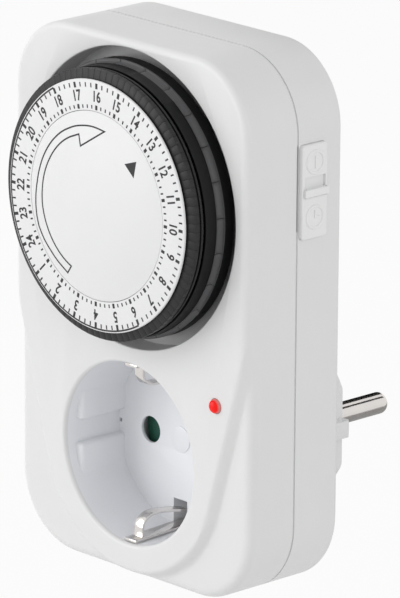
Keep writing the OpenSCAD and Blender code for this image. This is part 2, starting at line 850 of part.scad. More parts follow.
module number_ring() color("white") placed() on_dial() slab(ring_face, ring_back) difference() {
    circle(ring_r);
    circle(ring_inner_r);
}

module centre_disc() color("white") placed() on_dial() difference() {
    union() {
        rod(ring_face, ring_back, ring_inner_r - free_gap);
        rod(ring_back - 0.1, web_front + web_t, disc_boss_r);
    }
    rod(spindle_front, web_front + web_t + 1, spindle_r + press_gap);
}

module dial_spindle() color("silver") placed() on_dial() {
    rod(spindle_front + fit_gap, plate_back + 0.1, spindle_r);
    rod(plate_back, plate_back + 1.2, spindle_r + 1.5);
}

module thrust_washer() color("silver") placed() on_dial()
    slab(hub_back + fit_gap, hub_back + fit_gap + washer_t) difference() {
        circle(hub_r);
        circle(spindle_r + run_gap);
    }

module drive_wheel() color("white") placed() on_dial() {
    hub_front = hub_back + 2 * fit_gap + washer_t;
    slab(wheel_front, wheel_back) difference() {
        rotate(transfer_angle) gear(drive_teeth);
        circle(spindle_r + run_gap);
        for (a = [30:60:330]) rotate(a) translate([12, 0]) circle(3.6);
    }
    slab(hub_front, plate_front - free_gap) difference() {
        circle(hub_r);
        circle(spindle_r + run_gap);
    }
    slab(arm_front, arm_front + arm_len) for (a = [0:120:240]) rotate(a) click_arm();
    slab(arm_front + arm_len - 0.1, wheel_front + 0.1) for (a = [0:120:240]) rotate(a) arm_root_outline();
}

module arm_ring() difference() {
    circle(arm_r);
    circle(arm_r - arm_t);
}

module arm_root_outline() intersection() {
    arm_ring();
    rotate(-arm_root / 2) wedge(2 * arm_r, arm_root / 2);
}

// Springy arc on the drive wheel whose tip stands in a gap of the saw teeth.
module click_arm() {
    intersection() {
        arm_ring();
        rotate(arm_span / 2 - arm_root) wedge(2 * arm_r, arm_span / 2);
    }
    tip = round((arm_span - arm_root) / pitch) * pitch - 1;
    rotate(tip) polygon([
        [arm_r - arm_t / 2, -1.6], [ratchet_tip_r + 0.2, -0.3], [ratchet_tip_r + 0.2, 0.2],
        [arm_r - arm_t / 2, 0.5]
    ]);
}

// ---- movement ------------------------------------------------------------

plate_r = opening_r + 0.6;
plate_side = 4.5;
plate_skirt = 8;
plate_screw_drop = 4.5;
plate_screw_side = 7.5;
plate_screw_z = transfer_z - plate_screw_drop;
plate_screw_x = [-body_w / 2 + plate_screw_side, body_w / 2 - plate_screw_side];
plate_screw_r = 1.1;
window_r = 2.7;

module movement_plate() color([0.16, 0.16, 0.17]) placed() difference() {
    union() {
        slab(plate_front, plate_back) difference() {
            intersection() {
                outline(wall + free_gap);
                union() {
                    translate([0, dial_z]) circle(plate_r);
                    translate([-body_w / 2 + plate_side, transfer_z - plate_skirt])
                        square([body_w - 2 * plate_side, dial_z - transfer_z]);
                }
            }
            translate([0, dial_z]) circle(spindle_r + press_gap);
            translate([nose_x, nose_z + 0.4]) circle(window_r);
            for (x = plate_screw_x) translate([x, plate_screw_z]) circle(plate_screw_r + fit_gap);
            for (x = [-boss_x, boss_x]) translate([x, boss_top]) circle(screw_boss_r + free_gap);
        }
        rod(plate_back - 0.1, bearing_back, bearing_r, transfer_x, transfer_z);
        for (p = motor_posts) rod(plate_back - 0.1, motor_front, post_r, p[0], p[1]);
        lever_ears();
        for (x = [micro_x - micro_w / 2, micro_x + micro_w / 2 - 1.2]) {
            limits([x, x + 1.2], [plate_back - 0.1, micro_front],
                   [micro_z - micro_len / 2 + 0.2, pivot_z - lever_hub_r - 0.5]);
            limits([x, x + 1.2], [plate_back - 0.1, micro_front], [micro_z + 6.5, micro_z + 9.5]);
        }
    }
    rod(plate_front - 1, bearing_back + 1, arbor_r + run_gap, transfer_x, transfer_z);
    for (p = motor_posts) rod(motor_front - 3, motor_front + 1, plate_screw_r + run_gap, p[0], p[1]);
}

motor_posts = [for (s = [-1, 1]) [
    motor_x + s * motor_lug_at * cos(motor_lug_angle), motor_z + s * motor_lug_at * sin(motor_lug_angle)
]];

// Two ears behind the plate that hold the lever's pin.
module lever_ears() difference() {
    for (x = [lever_left - free_gap - ear_t, lever_right + free_gap])
        limits([x, x + ear_t], [plate_back - 0.1, micro_front], [pivot_z - 2, pivot_z + 2]);
    lever_bore(lever_pin_r + press_gap);
}

module lever_bore(r) translate([lever_left - 5, pivot_d, pivot_z]) rotate([0, 90, 0])
    cylinder(r = r, h = lever_right - lever_left + 10);

module plate_screws() color("silver") placed() for (x = plate_screw_x) {
    rod(plate_back, plate_back + 1, 2.2, x, plate_screw_z);
    rod(plate_front - 2.4, plate_back + 0.1, plate_screw_r, x, plate_screw_z);
}

module transfer_pinion() color("white") placed() slab(wheel_front, wheel_back)
    translate([transfer_x, transfer_z]) difference() {
        rotate(transfer_angle + 180 + 180 / pinion_teeth) gear(pinion_teeth);
        circle(arbor_r + press_gap);
    }

module transfer_wheel() color("white") placed() slab(train_front, train_back)
    translate([transfer_x, transfer_z]) difference() {
        rotate(motor_angle) gear(transfer_teeth);
        circle(arbor_r + press_gap);
        for (a = [0:90:270]) rotate(a) translate([6.6, 0]) circle(2.4);
    }

module transfer_arbor() color("silver") placed()
    rod(wheel_front, train_back + 0.3, arbor_r, transfer_x, transfer_z);

module motor() color("lightgray") placed() difference() {
    union() {
        rod(motor_front, motor_back, motor_r, motor_x, motor_z);
        rod(train_back + 0.5, motor_front + 0.1, motor_nose_r, motor_x, motor_z);
        slab(motor_front, motor_front + motor_lug_t) translate([motor_x, motor_z]) rotate(motor_lug_angle) {
            square([2 * motor_lug_at, 2 * motor_lug_r], center = true);
            for (s = [-1, 1]) translate([s * motor_lug_at, 0]) circle(motor_lug_r);
        }
    }
    rod(train_back, motor_front + 3, shaft_r + run_gap, motor_x, motor_z);
    for (p = motor_posts)
        rod(motor_front - 1, motor_front + motor_lug_t + 1, plate_screw_r + fit_gap, p[0], p[1]);
}

module motor_shaft() color("silver") placed() rod(train_front, motor_front + 2.8, shaft_r, motor_x, motor_z);

module motor_pinion() color("white") placed() slab(train_front, train_back)
    translate([motor_x, motor_z]) difference() {
        rotate(motor_angle + 180 + 180 / pinion_teeth) gear(pinion_teeth);
        circle(shaft_r + press_gap);
    }

module motor_screws() color("silver") placed() for (p = motor_posts) {
    rod(motor_front + motor_lug_t, motor_front + motor_lug_t + 1.2, 2, p[0], p[1]);
    rod(motor_front - 2.8, motor_front + motor_lug_t + 0.1, plate_screw_r, p[0], p[1]);
}

// ---- switching -----------------------------------------------------------

module trip_lever() color("ivory") placed() difference() {
    union() {
        translate([lever_left, pivot_d, pivot_z]) rotate([0, 90, 0])
            cylinder(r = lever_hub_r, h = lever_right - lever_left);
        limits([lever_left, lever_left + lever_w], [lever_front, lever_back], [pivot_z, nose_z + 1.6]);
        limits([lever_right - lever_w, lever_right], [lever_front, lever_back],
               [tongue_top - tongue_h, pivot_z]);
        limits([lever_right - lever_w, tongue_right], [lever_front, lever_back],
               [tongue_top - tongue_h, tongue_top]);
        slab(nose_front, lever_front + 0.1) translate([0, dial_z]) rotate(trip_angle)
            translate([nose_in_r, -nose_w / 2]) square([nose_len, nose_w]);
    }
    lever_bore(lever_pin_r + run_gap);
}

module lever_pin() color("silver") placed()
    translate([lever_left - free_gap - ear_t, pivot_d, pivot_z]) rotate([0, 90, 0])
        cylinder(r = lever_pin_r, h = lever_right - lever_left + 2 * (free_gap + ear_t));

module microswitch() color("dimgray") placed() difference() {
    union() {
        limits([micro_x - micro_w / 2, micro_x + micro_w / 2], [micro_front, micro_back],
               [micro_z - micro_len / 2, micro_z + micro_len / 2]);
        limits([micro_x - terminal_w / 2, micro_x + terminal_w / 2], [micro_back - 1, supply_d - bar_t],
               [supply_end_z - 1.6, supply_end_z - 1.6 + terminal_t]);
        limits([micro_x - terminal_w / 2, micro_x + terminal_w / 2], [micro_back - 1, contact_front],
               [micro_z - terminal_t / 2, micro_z + terminal_t / 2]);
    }
    rod(micro_front - 1, micro_front + 3, button_r + run_gap, micro_x, micro_z);
}

module switch_button() color("firebrick") placed()
    rod(button_front, micro_front + 2, button_r, micro_x, micro_z);

module switch_plate() color("white") placed() difference() {
    limits([body_w / 2 - plate_seat, body_w / 2 + plate_proud], [switch_front, switch_front + switch_w],
           [switch_z - switch_len / 2, switch_z + switch_len / 2]);
    limits([body_w / 2 - 2, body_w / 2 + 2],
           [switch_mid - ridge_w / 2 - free_gap, switch_mid + ridge_w / 2 + free_gap],
           [window_low, window_low + window_h]);
}

module mode_slider() color("white") placed() {
    limits([body_w / 2 + fit_gap - plate_seat, body_w / 2 + ridge_h],
           [switch_mid - ridge_w / 2, switch_mid + ridge_w / 2],
           [ridge_low, ridge_low + ridge_t]);
    limits([slider_x, body_w / 2], [switch_mid - shank_w / 2, switch_mid + shank_w / 2],
           [ridge_low, ridge_low + ridge_t]);
    limits([slider_x, slider_x + slider_t], [switch_mid - slider_w / 2, switch_mid + slider_w / 2],
           [slider_low, slider_high]);
    limits([slider_x, slider_x + slider_t], [ramp_high_d, switch_mid], [ramp_top - 4, slider_low + 0.1]);
    ramp_left = lever_right + free_gap + ear_t + 0.2;
    ramp_w = slider_x + slider_t - ramp_left;
    translate([ramp_left, 0, 0]) rotate([90, 0, 90]) linear_extrude(ramp_w) polygon([
        [ramp_high_d, ramp_top], [ramp_back_d, ramp_top], [ramp_back_d, ramp_top - 4],
        [ramp_low_d, ramp_top - 4], [ramp_low_d, ramp_top - ramp_h]
    ]);
}

// ---- indicator -----------------------------------------------------------

module indicator_lens() color("red") placed() {
    turned(led_x, led_z) {
        square([led_r, led_back]);
        translate([0, wall]) square([led_flange_r, 1]);
        intersection() {
            translate([0, 0.4]) circle(led_r);
            translate([0, -led_r]) square([led_r, led_r + 0.1]);
        }
    }
    for (z = [-0.6, 0.6]) rod(led_back - 0.1, board_front, 0.25, led_x, led_z + z);
}

board_post_x = board_x + 2.3;
board_post_z = [board_z - 4.5, led_z + led_flange_r + board_post_r - fit_gap];
module indicator_board() color("darkgreen") placed()
    limits([board_x - board_w / 2, board_x + board_w / 2], [board_front, board_front + board_t],
           [board_z - board_len / 2, board_z + board_len / 2]);

resistor_r = 1.1;
resistor_len = 7;
module indicator_resistor() color("tan") placed()
    translate([board_x - 1, board_front + board_t + resistor_r, board_z - resistor_len + 2])
        cylinder(r = resistor_r, h = resistor_len);

front_shell();
rear_shell();
plug_body();
housing_screws();
socket_well();
socket_floor();
shutter();
shutter_cover();
shutter_spring();
earth_clips();
earth_link();
plug_earth_strips();
contact_live();
contact_neutral();
plug_pin_live();
plug_pin_neutral();
neutral_link();
supply_bar();
switched_bar();
dial_drum();
dial_segments();
segment_1();
segment_2();
segment_3();
segment_4();
number_ring();
centre_disc();
dial_spindle();
thrust_washer();
drive_wheel();
movement_plate();
plate_screws();
transfer_pinion();
transfer_wheel();
transfer_arbor();
motor();
motor_shaft();
motor_pinion();
motor_screws();
trip_lever();
lever_pin();
microswitch();
switch_button();
switch_plate();
mode_slider();
indicator_lens();
indicator_board();
indicator_resistor();
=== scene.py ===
import math

import bmesh
import bpy
from mathutils import Matrix, Vector


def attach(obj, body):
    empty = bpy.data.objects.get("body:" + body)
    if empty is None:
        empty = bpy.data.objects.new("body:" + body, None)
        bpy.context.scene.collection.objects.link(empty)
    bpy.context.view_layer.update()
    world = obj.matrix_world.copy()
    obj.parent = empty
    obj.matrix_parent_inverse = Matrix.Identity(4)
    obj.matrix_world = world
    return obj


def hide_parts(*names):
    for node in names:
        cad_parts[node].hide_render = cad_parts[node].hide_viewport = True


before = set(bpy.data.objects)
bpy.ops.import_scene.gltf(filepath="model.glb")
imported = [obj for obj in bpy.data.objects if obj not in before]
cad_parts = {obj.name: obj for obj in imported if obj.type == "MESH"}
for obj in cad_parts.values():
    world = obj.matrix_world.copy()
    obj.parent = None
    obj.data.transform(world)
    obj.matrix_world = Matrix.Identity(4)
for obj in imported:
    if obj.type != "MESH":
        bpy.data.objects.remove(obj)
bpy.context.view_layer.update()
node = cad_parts

# ---- Where the timer is seen from ----
# A long lens looks at the timer from its right and from above, far enough away
# that the two round faces stay almost parallel. Sizes are in metres.
mm = 0.001
view_azimuth = math.radians(46.6)
view_elevation = math.radians(16.35)
view_roll = math.radians(0.42)
view_place = (948.6 * mm, -924.0 * mm, 413.2 * mm)

camera = bpy.data.objects.new("camera", bpy.data.cameras.new("camera"))
bpy.context.scene.collection.objects.link(camera)
bpy.context.scene.camera = camera
camera.data.lens = 385
camera.data.sensor_width = 36
camera.data.clip_start = 0.05
camera.data.clip_end = 20
ahead = Vector((
    -math.sin(view_azimuth) * math.cos(view_elevation),
    math.cos(view_azimuth) * math.cos(view_elevation),
    -math.sin(view_elevation),
))
level = Vector((math.cos(view_azimuth), math.sin(view_azimuth), 0))
upward = level.cross(ahead)
across = math.cos(view_roll) * level + math.sin(view_roll) * upward
upright = math.cos(view_roll) * upward - math.sin(view_roll) * level
camera.rotation_euler = Matrix((across, upright, -ahead)).transposed().to_euler()
camera.location = view_place

# ---- Light, floor and backdrop ----
# A pale table in a white room, lit by a broad soft box in front on the left, one on
# the right and a low one. Seen directly or in a mirror, room and table are near white.


class Signal:
    """A shader socket that takes part in sums and products."""

    def __init__(self, finish, socket):
        self.finish = finish
        self.socket = socket

    def combine(self, operation, other, swapped=False):
        pair = (other, self) if swapped else (self, other)
        return self.finish.node("ShaderNodeMath", {"operation": operation}, *pair)

    def __add__(self, other):
        return self.combine("ADD", other)

    def __sub__(self, other):
        return self.combine("SUBTRACT", other)

    def __mul__(self, other):
        return self.combine("MULTIPLY", other)

    def __lt__(self, other):
        return self.combine("LESS_THAN", other)

    def __rsub__(self, other):
        return self.combine("SUBTRACT", other, True)

    __radd__ = __add__
    __rmul__ = __mul__


class Finish:
    """A material whose nodes are added one call at a time."""

    def __init__(self, name, tree=None):
        if tree is None:
            self.material = bpy.data.materials.new(name)
            self.material.use_nodes = True
            tree = self.material.node_tree
        self.tree = tree
        tree.nodes.clear()

    def node(self, kind, settings=None, *values, output=0, **named):
        """Adds a node, makes its settings, fills its sockets and gives one output."""
        added = self.tree.nodes.new(kind)
        for key, value in (settings or {}).items():
            setattr(added, key, value)
        inputs = list(enumerate(values)) + [(key.replace("_", " "), v) for key, v in named.items()]
        for key, value in inputs:
            socket = added.inputs[key]
            if isinstance(value, Signal):
                self.tree.links.new(value.socket, socket)
            elif value is not None:
                socket.default_value = value
        return Signal(self, added.outputs[output])

    def place(self, scale=(1, 1, 1)):
        """The point on the piece in its own metres, stretched by scale."""
        point = self.node("ShaderNodeTexCoord", output="Object")
        return self.node("ShaderNodeMapping", None, point, Scale=scale)

    def grain(self, scale, detail=3.0, stretch=(1, 1, 1)):
        """Cloudy noise, scale lumps to the metre, from 0 to 1."""
        return self.node("ShaderNodeTexNoise", None, Vector=self.place(stretch), Scale=scale, Detail=detail)

    def blend(self, factor, first, second):
        """One colour over another, by a factor from 0 to 1."""
        mixer = self.tree.nodes.new("ShaderNodeMix")
        mixer.data_type = "RGBA"
        for socket, value in ((mixer.inputs[0], factor), (mixer.inputs[6], first), (mixer.inputs[7], second)):
            if isinstance(value, Signal):
                self.tree.links.new(value.socket, socket)
            else:
                socket.default_value = value
        return Signal(self, mixer.outputs[2])

    def bump(self, height, distance, strength):
        """Relief of the surface, distance metres high."""
        return self.node("ShaderNodeBump", None, Strength=strength, Distance=distance, Height=height)

    def surface(self, shader):
        """Ends the material with its shader."""
        out = self.tree.nodes.new("ShaderNodeOutputMaterial")
        self.tree.links.new(shader.socket, out.inputs["Surface"])
        return self.material


floor_z = -62 * mm
room_light = 0.64
table_glow = 0.9


def seen_directly(finish):
    """1 for rays from the camera, a mirror or glass, and 0 for the light on a surface."""
    seen = finish.node("ShaderNodeLightPath", output="Is Camera Ray")
    mirrored = finish.node("ShaderNodeLightPath", output="Is Glossy Ray")
    through = finish.node("ShaderNodeLightPath", output="Is Transmission Ray")
    return finish.node("ShaderNodeMath", {"operation": "ADD", "use_clamp": True}, seen + mirrored, through)


room = bpy.data.worlds.new("room")
bpy.context.scene.world = room
room.use_nodes = True
air = Finish("room", room.node_tree)
brightness = room_light + seen_directly(air) * (1 - room_light)
glow = air.node("ShaderNodeBackground", None, Color=(1, 1, 1, 1), Strength=brightness)
world_out = air.tree.nodes.new("ShaderNodeOutputWorld")
air.tree.links.new(glow.socket, world_out.inputs["Surface"])

bpy.ops.object.select_all(action="DESELECT")
bpy.ops.mesh.primitive_plane_add(size=6, location=(0, 0, floor_z))
table = bpy.context.object
table.name = "table"
top = Finish("table_top")
glowing = seen_directly(top) * table_glow
painted = top.node("ShaderNodeBsdfDiffuse", None, (0.86, 0.86, 0.86, 1))
white = top.node("ShaderNodeEmission", None, (1, 1, 1, 1), 1.0)
table.data.materials.append(top.surface(top.node("ShaderNodeMixShader", None, glowing, painted, white)))


def soft_box(name, place, aim, size, power):
    """A broad lamp at a place, turned to face a point."""
    lamp = bpy.data.objects.new(name, bpy.data.lights.new(name, "AREA"))
    bpy.context.scene.collection.objects.link(lamp)
    lamp.data.shape = "RECTANGLE"
    lamp.data.size, lamp.data.size_y = size
    lamp.data.energy = power
    lamp.location = place
    lamp.rotation_euler = (Vector(aim) - Vector(place)).to_track_quat("-Z", "Y").to_euler()


centre = (0, -0.02, 0.03)
soft_box("front_box", (-0.75, -0.95, 0.50), centre, (0.9, 0.9), 5.2)
soft_box("side_box", (1.0, -0.1, 0.35), centre, (0.5, 0.9), 2.0)
soft_box("low_box", (-0.55, -0.95, 0.0), centre, (0.6, 0.2), 1.8)

# Dark cards in an arc beside the plug's pins and a grey one below them are seen only
# in the metal, as streaks. One gap in the arc leaves a bright line between two streaks.
pin_x = 9.5 * mm
card_far, card_behind = 0.35, 0.385
card_size = (0.118, 0.2)
low_card_place, low_card_size = (0, 0.075, -26.2 * mm), (0.1, 0.11)


def felt(name, grey):
    """A flat felt that scatters a share of the light from 0 to 1."""
    finish = Finish(name)
    return finish.surface(finish.node("ShaderNodeBsdfDiffuse", None, (grey, grey, grey, 1)))


def card(name, place, tilt, size, material):
    """A card that only a mirror sees, tilted about Y."""
    bpy.ops.object.select_all(action="DESELECT")
    bpy.ops.mesh.primitive_plane_add(size=1, rotation=(0, tilt, 0))
    sheet = bpy.context.object
    sheet.name = name
    sheet.location = place
    sheet.scale = (*size, 1)
    for view in ("visible_camera", "visible_diffuse", "visible_transmission", "visible_shadow"):
        setattr(sheet, view, False)
    sheet.data.materials.append(material)


card_felt = felt("card_felt", 0.01)
for bearing in (70, 119, 138, 157, 176, 195):
    turn = math.radians(bearing)
    card_place = (pin_x + card_far * math.cos(turn), card_behind, card_far * math.sin(turn))
    card("dark_card_" + str(bearing), card_place, math.pi / 2 - turn, card_size, card_felt)
card("low_card", low_card_place, 0, low_card_size, felt("grey_felt", 0.5))

bpy.context.scene.view_settings.view_transform = "Standard"

# ---- Front shell ----
# Moulded in white plastic. A raised field with a round bottom stands 1.8 mm
# proud of the lower corners, and its edge is a soft step. Screwed from behind.
front_y = -47.8 * mm
dial_z = 56.2 * mm


def clear():
    """Leaves edit mode and deselects everything."""
    if bpy.context.object and bpy.context.object.mode == "EDIT":
        bpy.ops.object.mode_set(mode="OBJECT")
    bpy.ops.object.select_all(action="DESELECT")


def block(name, low, high):
    """A block between two corners, left open for editing with all of it selected."""
    clear()
    bpy.ops.mesh.primitive_cube_add(size=1)
    piece = bpy.context.object
    piece.name = piece.data.name = name
    bpy.ops.object.mode_set(mode="EDIT")
    bpy.ops.transform.resize(value=[b - a for a, b in zip(low, high)])
    bpy.ops.transform.translate(value=[(a + b) / 2 for a, b in zip(low, high)])
    return piece


def pick(piece, kind, test):
    """Selects the faces, edges or points of the open piece that pass a test."""
    bpy.ops.mesh.select_mode(type={"faces": "FACE", "edges": "EDGE", "verts": "VERT"}[kind])
    bpy.ops.mesh.select_all(action="DESELECT")
    mesh = bmesh.from_edit_mesh(piece.data)
    for part in getattr(mesh, kind):
        if test(part):
            part.select_set(True)
    bmesh.update_edit_mesh(piece.data)


def close(piece, crease=math.radians(35)):
    """Leaves edit mode and smooths all but the crisp edges."""
    bpy.ops.object.mode_set(mode="OBJECT")
    bpy.ops.object.select_all(action="DESELECT")
    piece.select_set(True)
    bpy.context.view_layer.objects.active = piece
    bpy.ops.object.shade_smooth_by_angle(angle=crease)


def reopen(piece):
    """Opens a finished piece again for editing."""
    clear()
    bpy.context.view_layer.objects.active = piece
    bpy.ops.object.mode_set(mode="EDIT")


def outward():
    """Turns all faces of the open piece outward."""
    bpy.ops.mesh.select_all(action="SELECT")
    bpy.ops.mesh.normals_make_consistent(inside=False)


def round_edges(radius, steps):
    """Rounds the selected edges."""
    bpy.ops.mesh.bevel(offset=radius, segments=steps, profile=0.5, affect="EDGES")


def finish_modifier(piece, kind, **settings):
    """Adds a modifier, makes its settings and applies it."""
    clear()
    bpy.context.view_layer.objects.active = piece
    added = piece.modifiers.new(kind.lower(), kind)
    for key, value in settings.items():
        setattr(added, key, value)
    bpy.ops.object.modifier_apply(modifier=added.name)


def cut(piece, tool, operation="DIFFERENCE"):
    """Cuts, joins or crosses a piece with a tool, and throws the tool away."""
    finish_modifier(piece, "BOOLEAN", object=tool, operation=operation, solver="EXACT")
    bpy.data.objects.remove(tool)


def round_bar(name, x, z, radius, near, far, sides=96):
    """A closed cylinder along Y, between two depths, left open for editing."""
    clear()
    bpy.ops.mesh.primitive_cylinder_add(vertices=sides, radius=radius, depth=far - near)
    piece = bpy.context.object
    piece.name = piece.data.name = name
    bpy.ops.object.mode_set(mode="EDIT")
    bpy.ops.transform.rotate(value=math.pi / 2, orient_axis="X", center_override=(0, 0, 0))
    bpy.ops.transform.translate(value=(x, (near + far) / 2, z))
    return piece


def runs_back(edge):
    """Tells a long edge along the housing's depth."""
    return abs(edge.verts[0].co.y - edge.verts[1].co.y) > 5 * mm


half_width = 36 * mm
low_z, high_z = -27.3 * mm, 90.5 * mm
corner = 16.5 * mm
wall = 2.2 * mm
seam_y = front_y + 14.3 * mm
seam_half, seam_lip = 0.25 * mm, 0.35 * mm
rim, rim_ease = 2.2 * mm, 0.7 * mm
ease_z, ease_length = 72 * mm, 12 * mm
field_step = 1.8 * mm
field_r = 26.5 * mm
field_slope = math.radians(16)
step_half = 0.95 * mm
dial_opening_r = 32.4 * mm
socket_opening_r = 20 * mm
well_room_r = 21.8 * mm
lens_x, lens_z = 27 * mm, 16.9 * mm
lens_hole_r = 1.7 * mm
narrow_insets = [0.04, 0.08, 0.13, 0.17, 0.21, 0.25, 0.29, 0.33, 0.35, 0.35]
inset_widths = [width * mm for width in narrow_insets + [0.32] * 36]
hollow_near = front_y + 6 * mm
opening_lip = 1.1 * mm

cover = block("front_cover", (-half_width, front_y, low_z), (half_width, seam_y - seam_half, high_z))
pick(cover, "edges", runs_back)
round_edges(corner, 22)
pick(cover, "faces", lambda f: abs(f.normal.y) > 0.9)
bpy.ops.mesh.delete(type="ONLY_FACE")
pick(cover, "edges", lambda e: abs(e.verts[0].co.y - e.verts[1].co.y) < mm and e.calc_length() > 20 * mm)
bpy.ops.mesh.subdivide(number_cuts=63)
pick(cover, "edges", lambda e: e.is_boundary and e.verts[0].co.y > seam_y - mm)
bpy.ops.mesh.edge_face_add()
bpy.ops.mesh.inset(thickness=seam_lip)
bpy.ops.mesh.extrude_region_move(TRANSFORM_OT_translate={"value": (0, seam_half, 0)})
pick(cover, "edges", lambda e: e.is_boundary)
bpy.ops.mesh.edge_face_add()
for width in inset_widths:
    bpy.ops.mesh.inset(thickness=width)


def inside_outline(x, z):
    """How far a point lies inside the housing's outline."""
    out_x = abs(x) - (half_width - corner)
    middle = (high_z + low_z) / 2
    out_z = abs(z - middle) - ((high_z - low_z) / 2 - corner)
    reach = math.hypot(max(out_x, 0), max(out_z, 0)) + min(max(out_x, out_z), 0)
    return corner - reach


def outside_field(x, z):
    """How far a point lies outside the raised field: round below, flaring above."""
    x = abs(x)
    along = x * math.sin(field_slope) + z * math.cos(field_slope)
    if along < 0:
        return math.hypot(x, z) - field_r
    return x * math.cos(field_slope) - z * math.sin(field_slope) - field_r


def rounded(inside, radius):
    """Drop of a rounded edge at a distance inside the outline."""
    if inside >= radius:
        return 0.0
    return radius - math.sqrt(max(radius * radius - (radius - inside) ** 2, 0.0))


mesh = bmesh.from_edit_mesh(cover.data)
for point in mesh.verts:
    if abs(point.co.y - front_y) < 0.01 * mm:
        inside = inside_outline(point.co.x, point.co.z)
        edge = rim - rim_ease * min(max((point.co.z - ease_z) / ease_length, 0), 1)
        outside = outside_field(point.co.x, point.co.z)
        share = min(max((outside + step_half) / (2 * step_half), 0), 1)
        share = share * share * (3 - 2 * share)
        point.co.y = front_y + (rounded(inside, edge) + share * field_step)
bmesh.update_edit_mesh(cover.data)
pick(cover, "faces", lambda f: all(abs(v.co.y - front_y) < 0.0005 * mm for v in f.verts))
bpy.ops.mesh.dissolve_faces()
outward()

hollow = block(
    "hollow", (-half_width + wall, hollow_near, low_z + wall),
    (half_width - wall, seam_y + mm, high_z - wall),
)
pick(hollow, "edges", runs_back)
round_edges(corner - wall, 12)
cut(cover, hollow)
cut(cover, round_bar("dial_opening", 0, dial_z, dial_opening_r, front_y - mm, seam_y, 128))
cut(cover, round_bar("socket_opening", 0, 0, socket_opening_r, front_y - mm, front_y + 2 * mm, 128))
cut(cover, round_bar("well_room", 0, 0, well_room_r, front_y + opening_lip, seam_y, 96))
cut(cover, round_bar("lens_hole", lens_x, lens_z, lens_hole_r, front_y - mm, seam_y, 32))
reopen(cover)


def on_circle(edge, x, z, radius, y):
    """Tells an edge of the round rim at a place and depth."""
    return all(
        abs(math.hypot(v.co.x - x, v.co.z - z) - radius) < 0.02 * mm and abs(v.co.y - y) < 0.12 * mm
        for v in edge.verts
    )


pick(cover, "edges", lambda e: on_circle(e, 0, dial_z, dial_opening_r, front_y))
round_edges(0.35 * mm, 3)
pick(cover, "edges", lambda e: on_circle(e, 0, 0, socket_opening_r, front_y))
round_edges(0.8 * mm, 5)
close(cover, math.radians(30))
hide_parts("front_shell")
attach(cover, "housing")

shell = Finish("shell_plastic")
mottle = shell.grain(90, 3)
tone = shell.blend(mottle, (0.775, 0.775, 0.775, 1), (0.80, 0.80, 0.80, 1))
fine = shell.grain(5200, 2)
rough = 0.34 + 0.10 * shell.grain(420, 4)
shell_plastic = shell.surface(shell.node(
    "ShaderNodeBsdfPrincipled", None, Base_Color=tone, Roughness=rough, IOR=1.46,
    Normal=shell.bump(fine, 0.00002, 0.25),
))
cover.data.materials.append(shell_plastic)

# ---- Rear shell ----
# The matching tray behind the seam, moulded in the same white plastic. It has the
# plug's opening, four sunk screw seats, a shallow bed and window for the switch, and a
# thin slot beside the bed where the two shells leave a gap.
rear_y = front_y + 27.3 * mm
rear_edge_r = 1.2 * mm
screw_places = [(x * mm, z * mm) for x in (-26.22, 26.22) for z in (-17.52, 80.72)]
screw_boss_r, screw_sink_r, screw_hole_r = 4.6 * mm, 3.1 * mm, 1.75 * mm
screw_sink = 2.4 * mm
switch_middle, switch_half = 62 * mm, 10.1 * mm
switch_near, switch_far = front_y + 14.8 * mm, front_y + 22.0 * mm
bed_depth, bed_gap = 0.5 * mm, 0.1 * mm
window_near, window_far = front_y + 15.3 * mm, front_y + 21.5 * mm
window_low, window_high = 57.4 * mm, 68.7 * mm
slot_low, slot_high = 53.7 * mm, 72 * mm
spigot_r = 19 * mm


def at_depth(y, reach=0.01 * mm):
    """A test for edges that lie wholly at a depth."""
    return lambda edge: all(abs(vert.co.y - y) < reach for vert in edge.verts)


def runs_across(edge):
    """Tells an edge along the housing's width."""
    return abs(edge.verts[0].co.x - edge.verts[1].co.x) > 0.5 * mm


tray = block("rear_tray", (-half_width, seam_y + seam_half, low_z), (half_width, rear_y, high_z))
pick(tray, "edges", runs_back)
round_edges(corner, 22)
pick(tray, "edges", at_depth(rear_y))
round_edges(rear_edge_r, 5)
pick(tray, "faces", lambda f: f.normal.y < -0.9)
bpy.ops.mesh.inset(thickness=seam_lip)
bpy.ops.mesh.extrude_region_move(TRANSFORM_OT_translate={"value": (0, -seam_half, 0)})
outward()

hollow = block(
    "hollow", (-half_width + wall, seam_y - mm, low_z + wall),
    (half_width - wall, rear_y - wall, high_z - wall),
)
pick(hollow, "edges", runs_back)
round_edges(corner - wall, 12)
cut(tray, hollow)
for x, z in screw_places:
    cut(tray, round_bar("boss", x, z, screw_boss_r, seam_y + mm, rear_y - 0.4 * mm, 24), "UNION")
    cut(tray, round_bar("sink", x, z, screw_sink_r, rear_y - screw_sink, rear_y + mm, 32))
    cut(tray, round_bar("hole", x, z, screw_hole_r, seam_y - mm, rear_y, 24))
cut(tray, round_bar("plug_hole", 0, 0, spigot_r, rear_y - 4 * mm, rear_y + mm, 96))
bed = block(
    "bed", (half_width - bed_depth, switch_near - bed_gap, switch_middle - switch_half - bed_gap),
    (half_width + mm, switch_far + bed_gap, switch_middle + switch_half + bed_gap),
)
pick(bed, "edges", runs_across)
round_edges(0.9 * mm, 5)
close(bed)
cut(tray, bed)
cut(tray, block(
    "window", (half_width - 3 * mm, window_near, window_low), (half_width + mm, window_far, window_high)
))
cut(tray, block(
    "slot", (half_width - 2.4 * mm, seam_y - mm, slot_low), (half_width + mm, seam_y + 0.3 * mm, slot_high)
))
reopen(tray)
for x, z in screw_places:
    pick(tray, "edges", lambda e: on_circle(e, x, z, screw_sink_r, rear_y))
    round_edges(0.25 * mm, 2)
close(tray, math.radians(30))
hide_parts("rear_shell")
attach(tray, "housing")
tray.data.materials.append(shell_plastic)

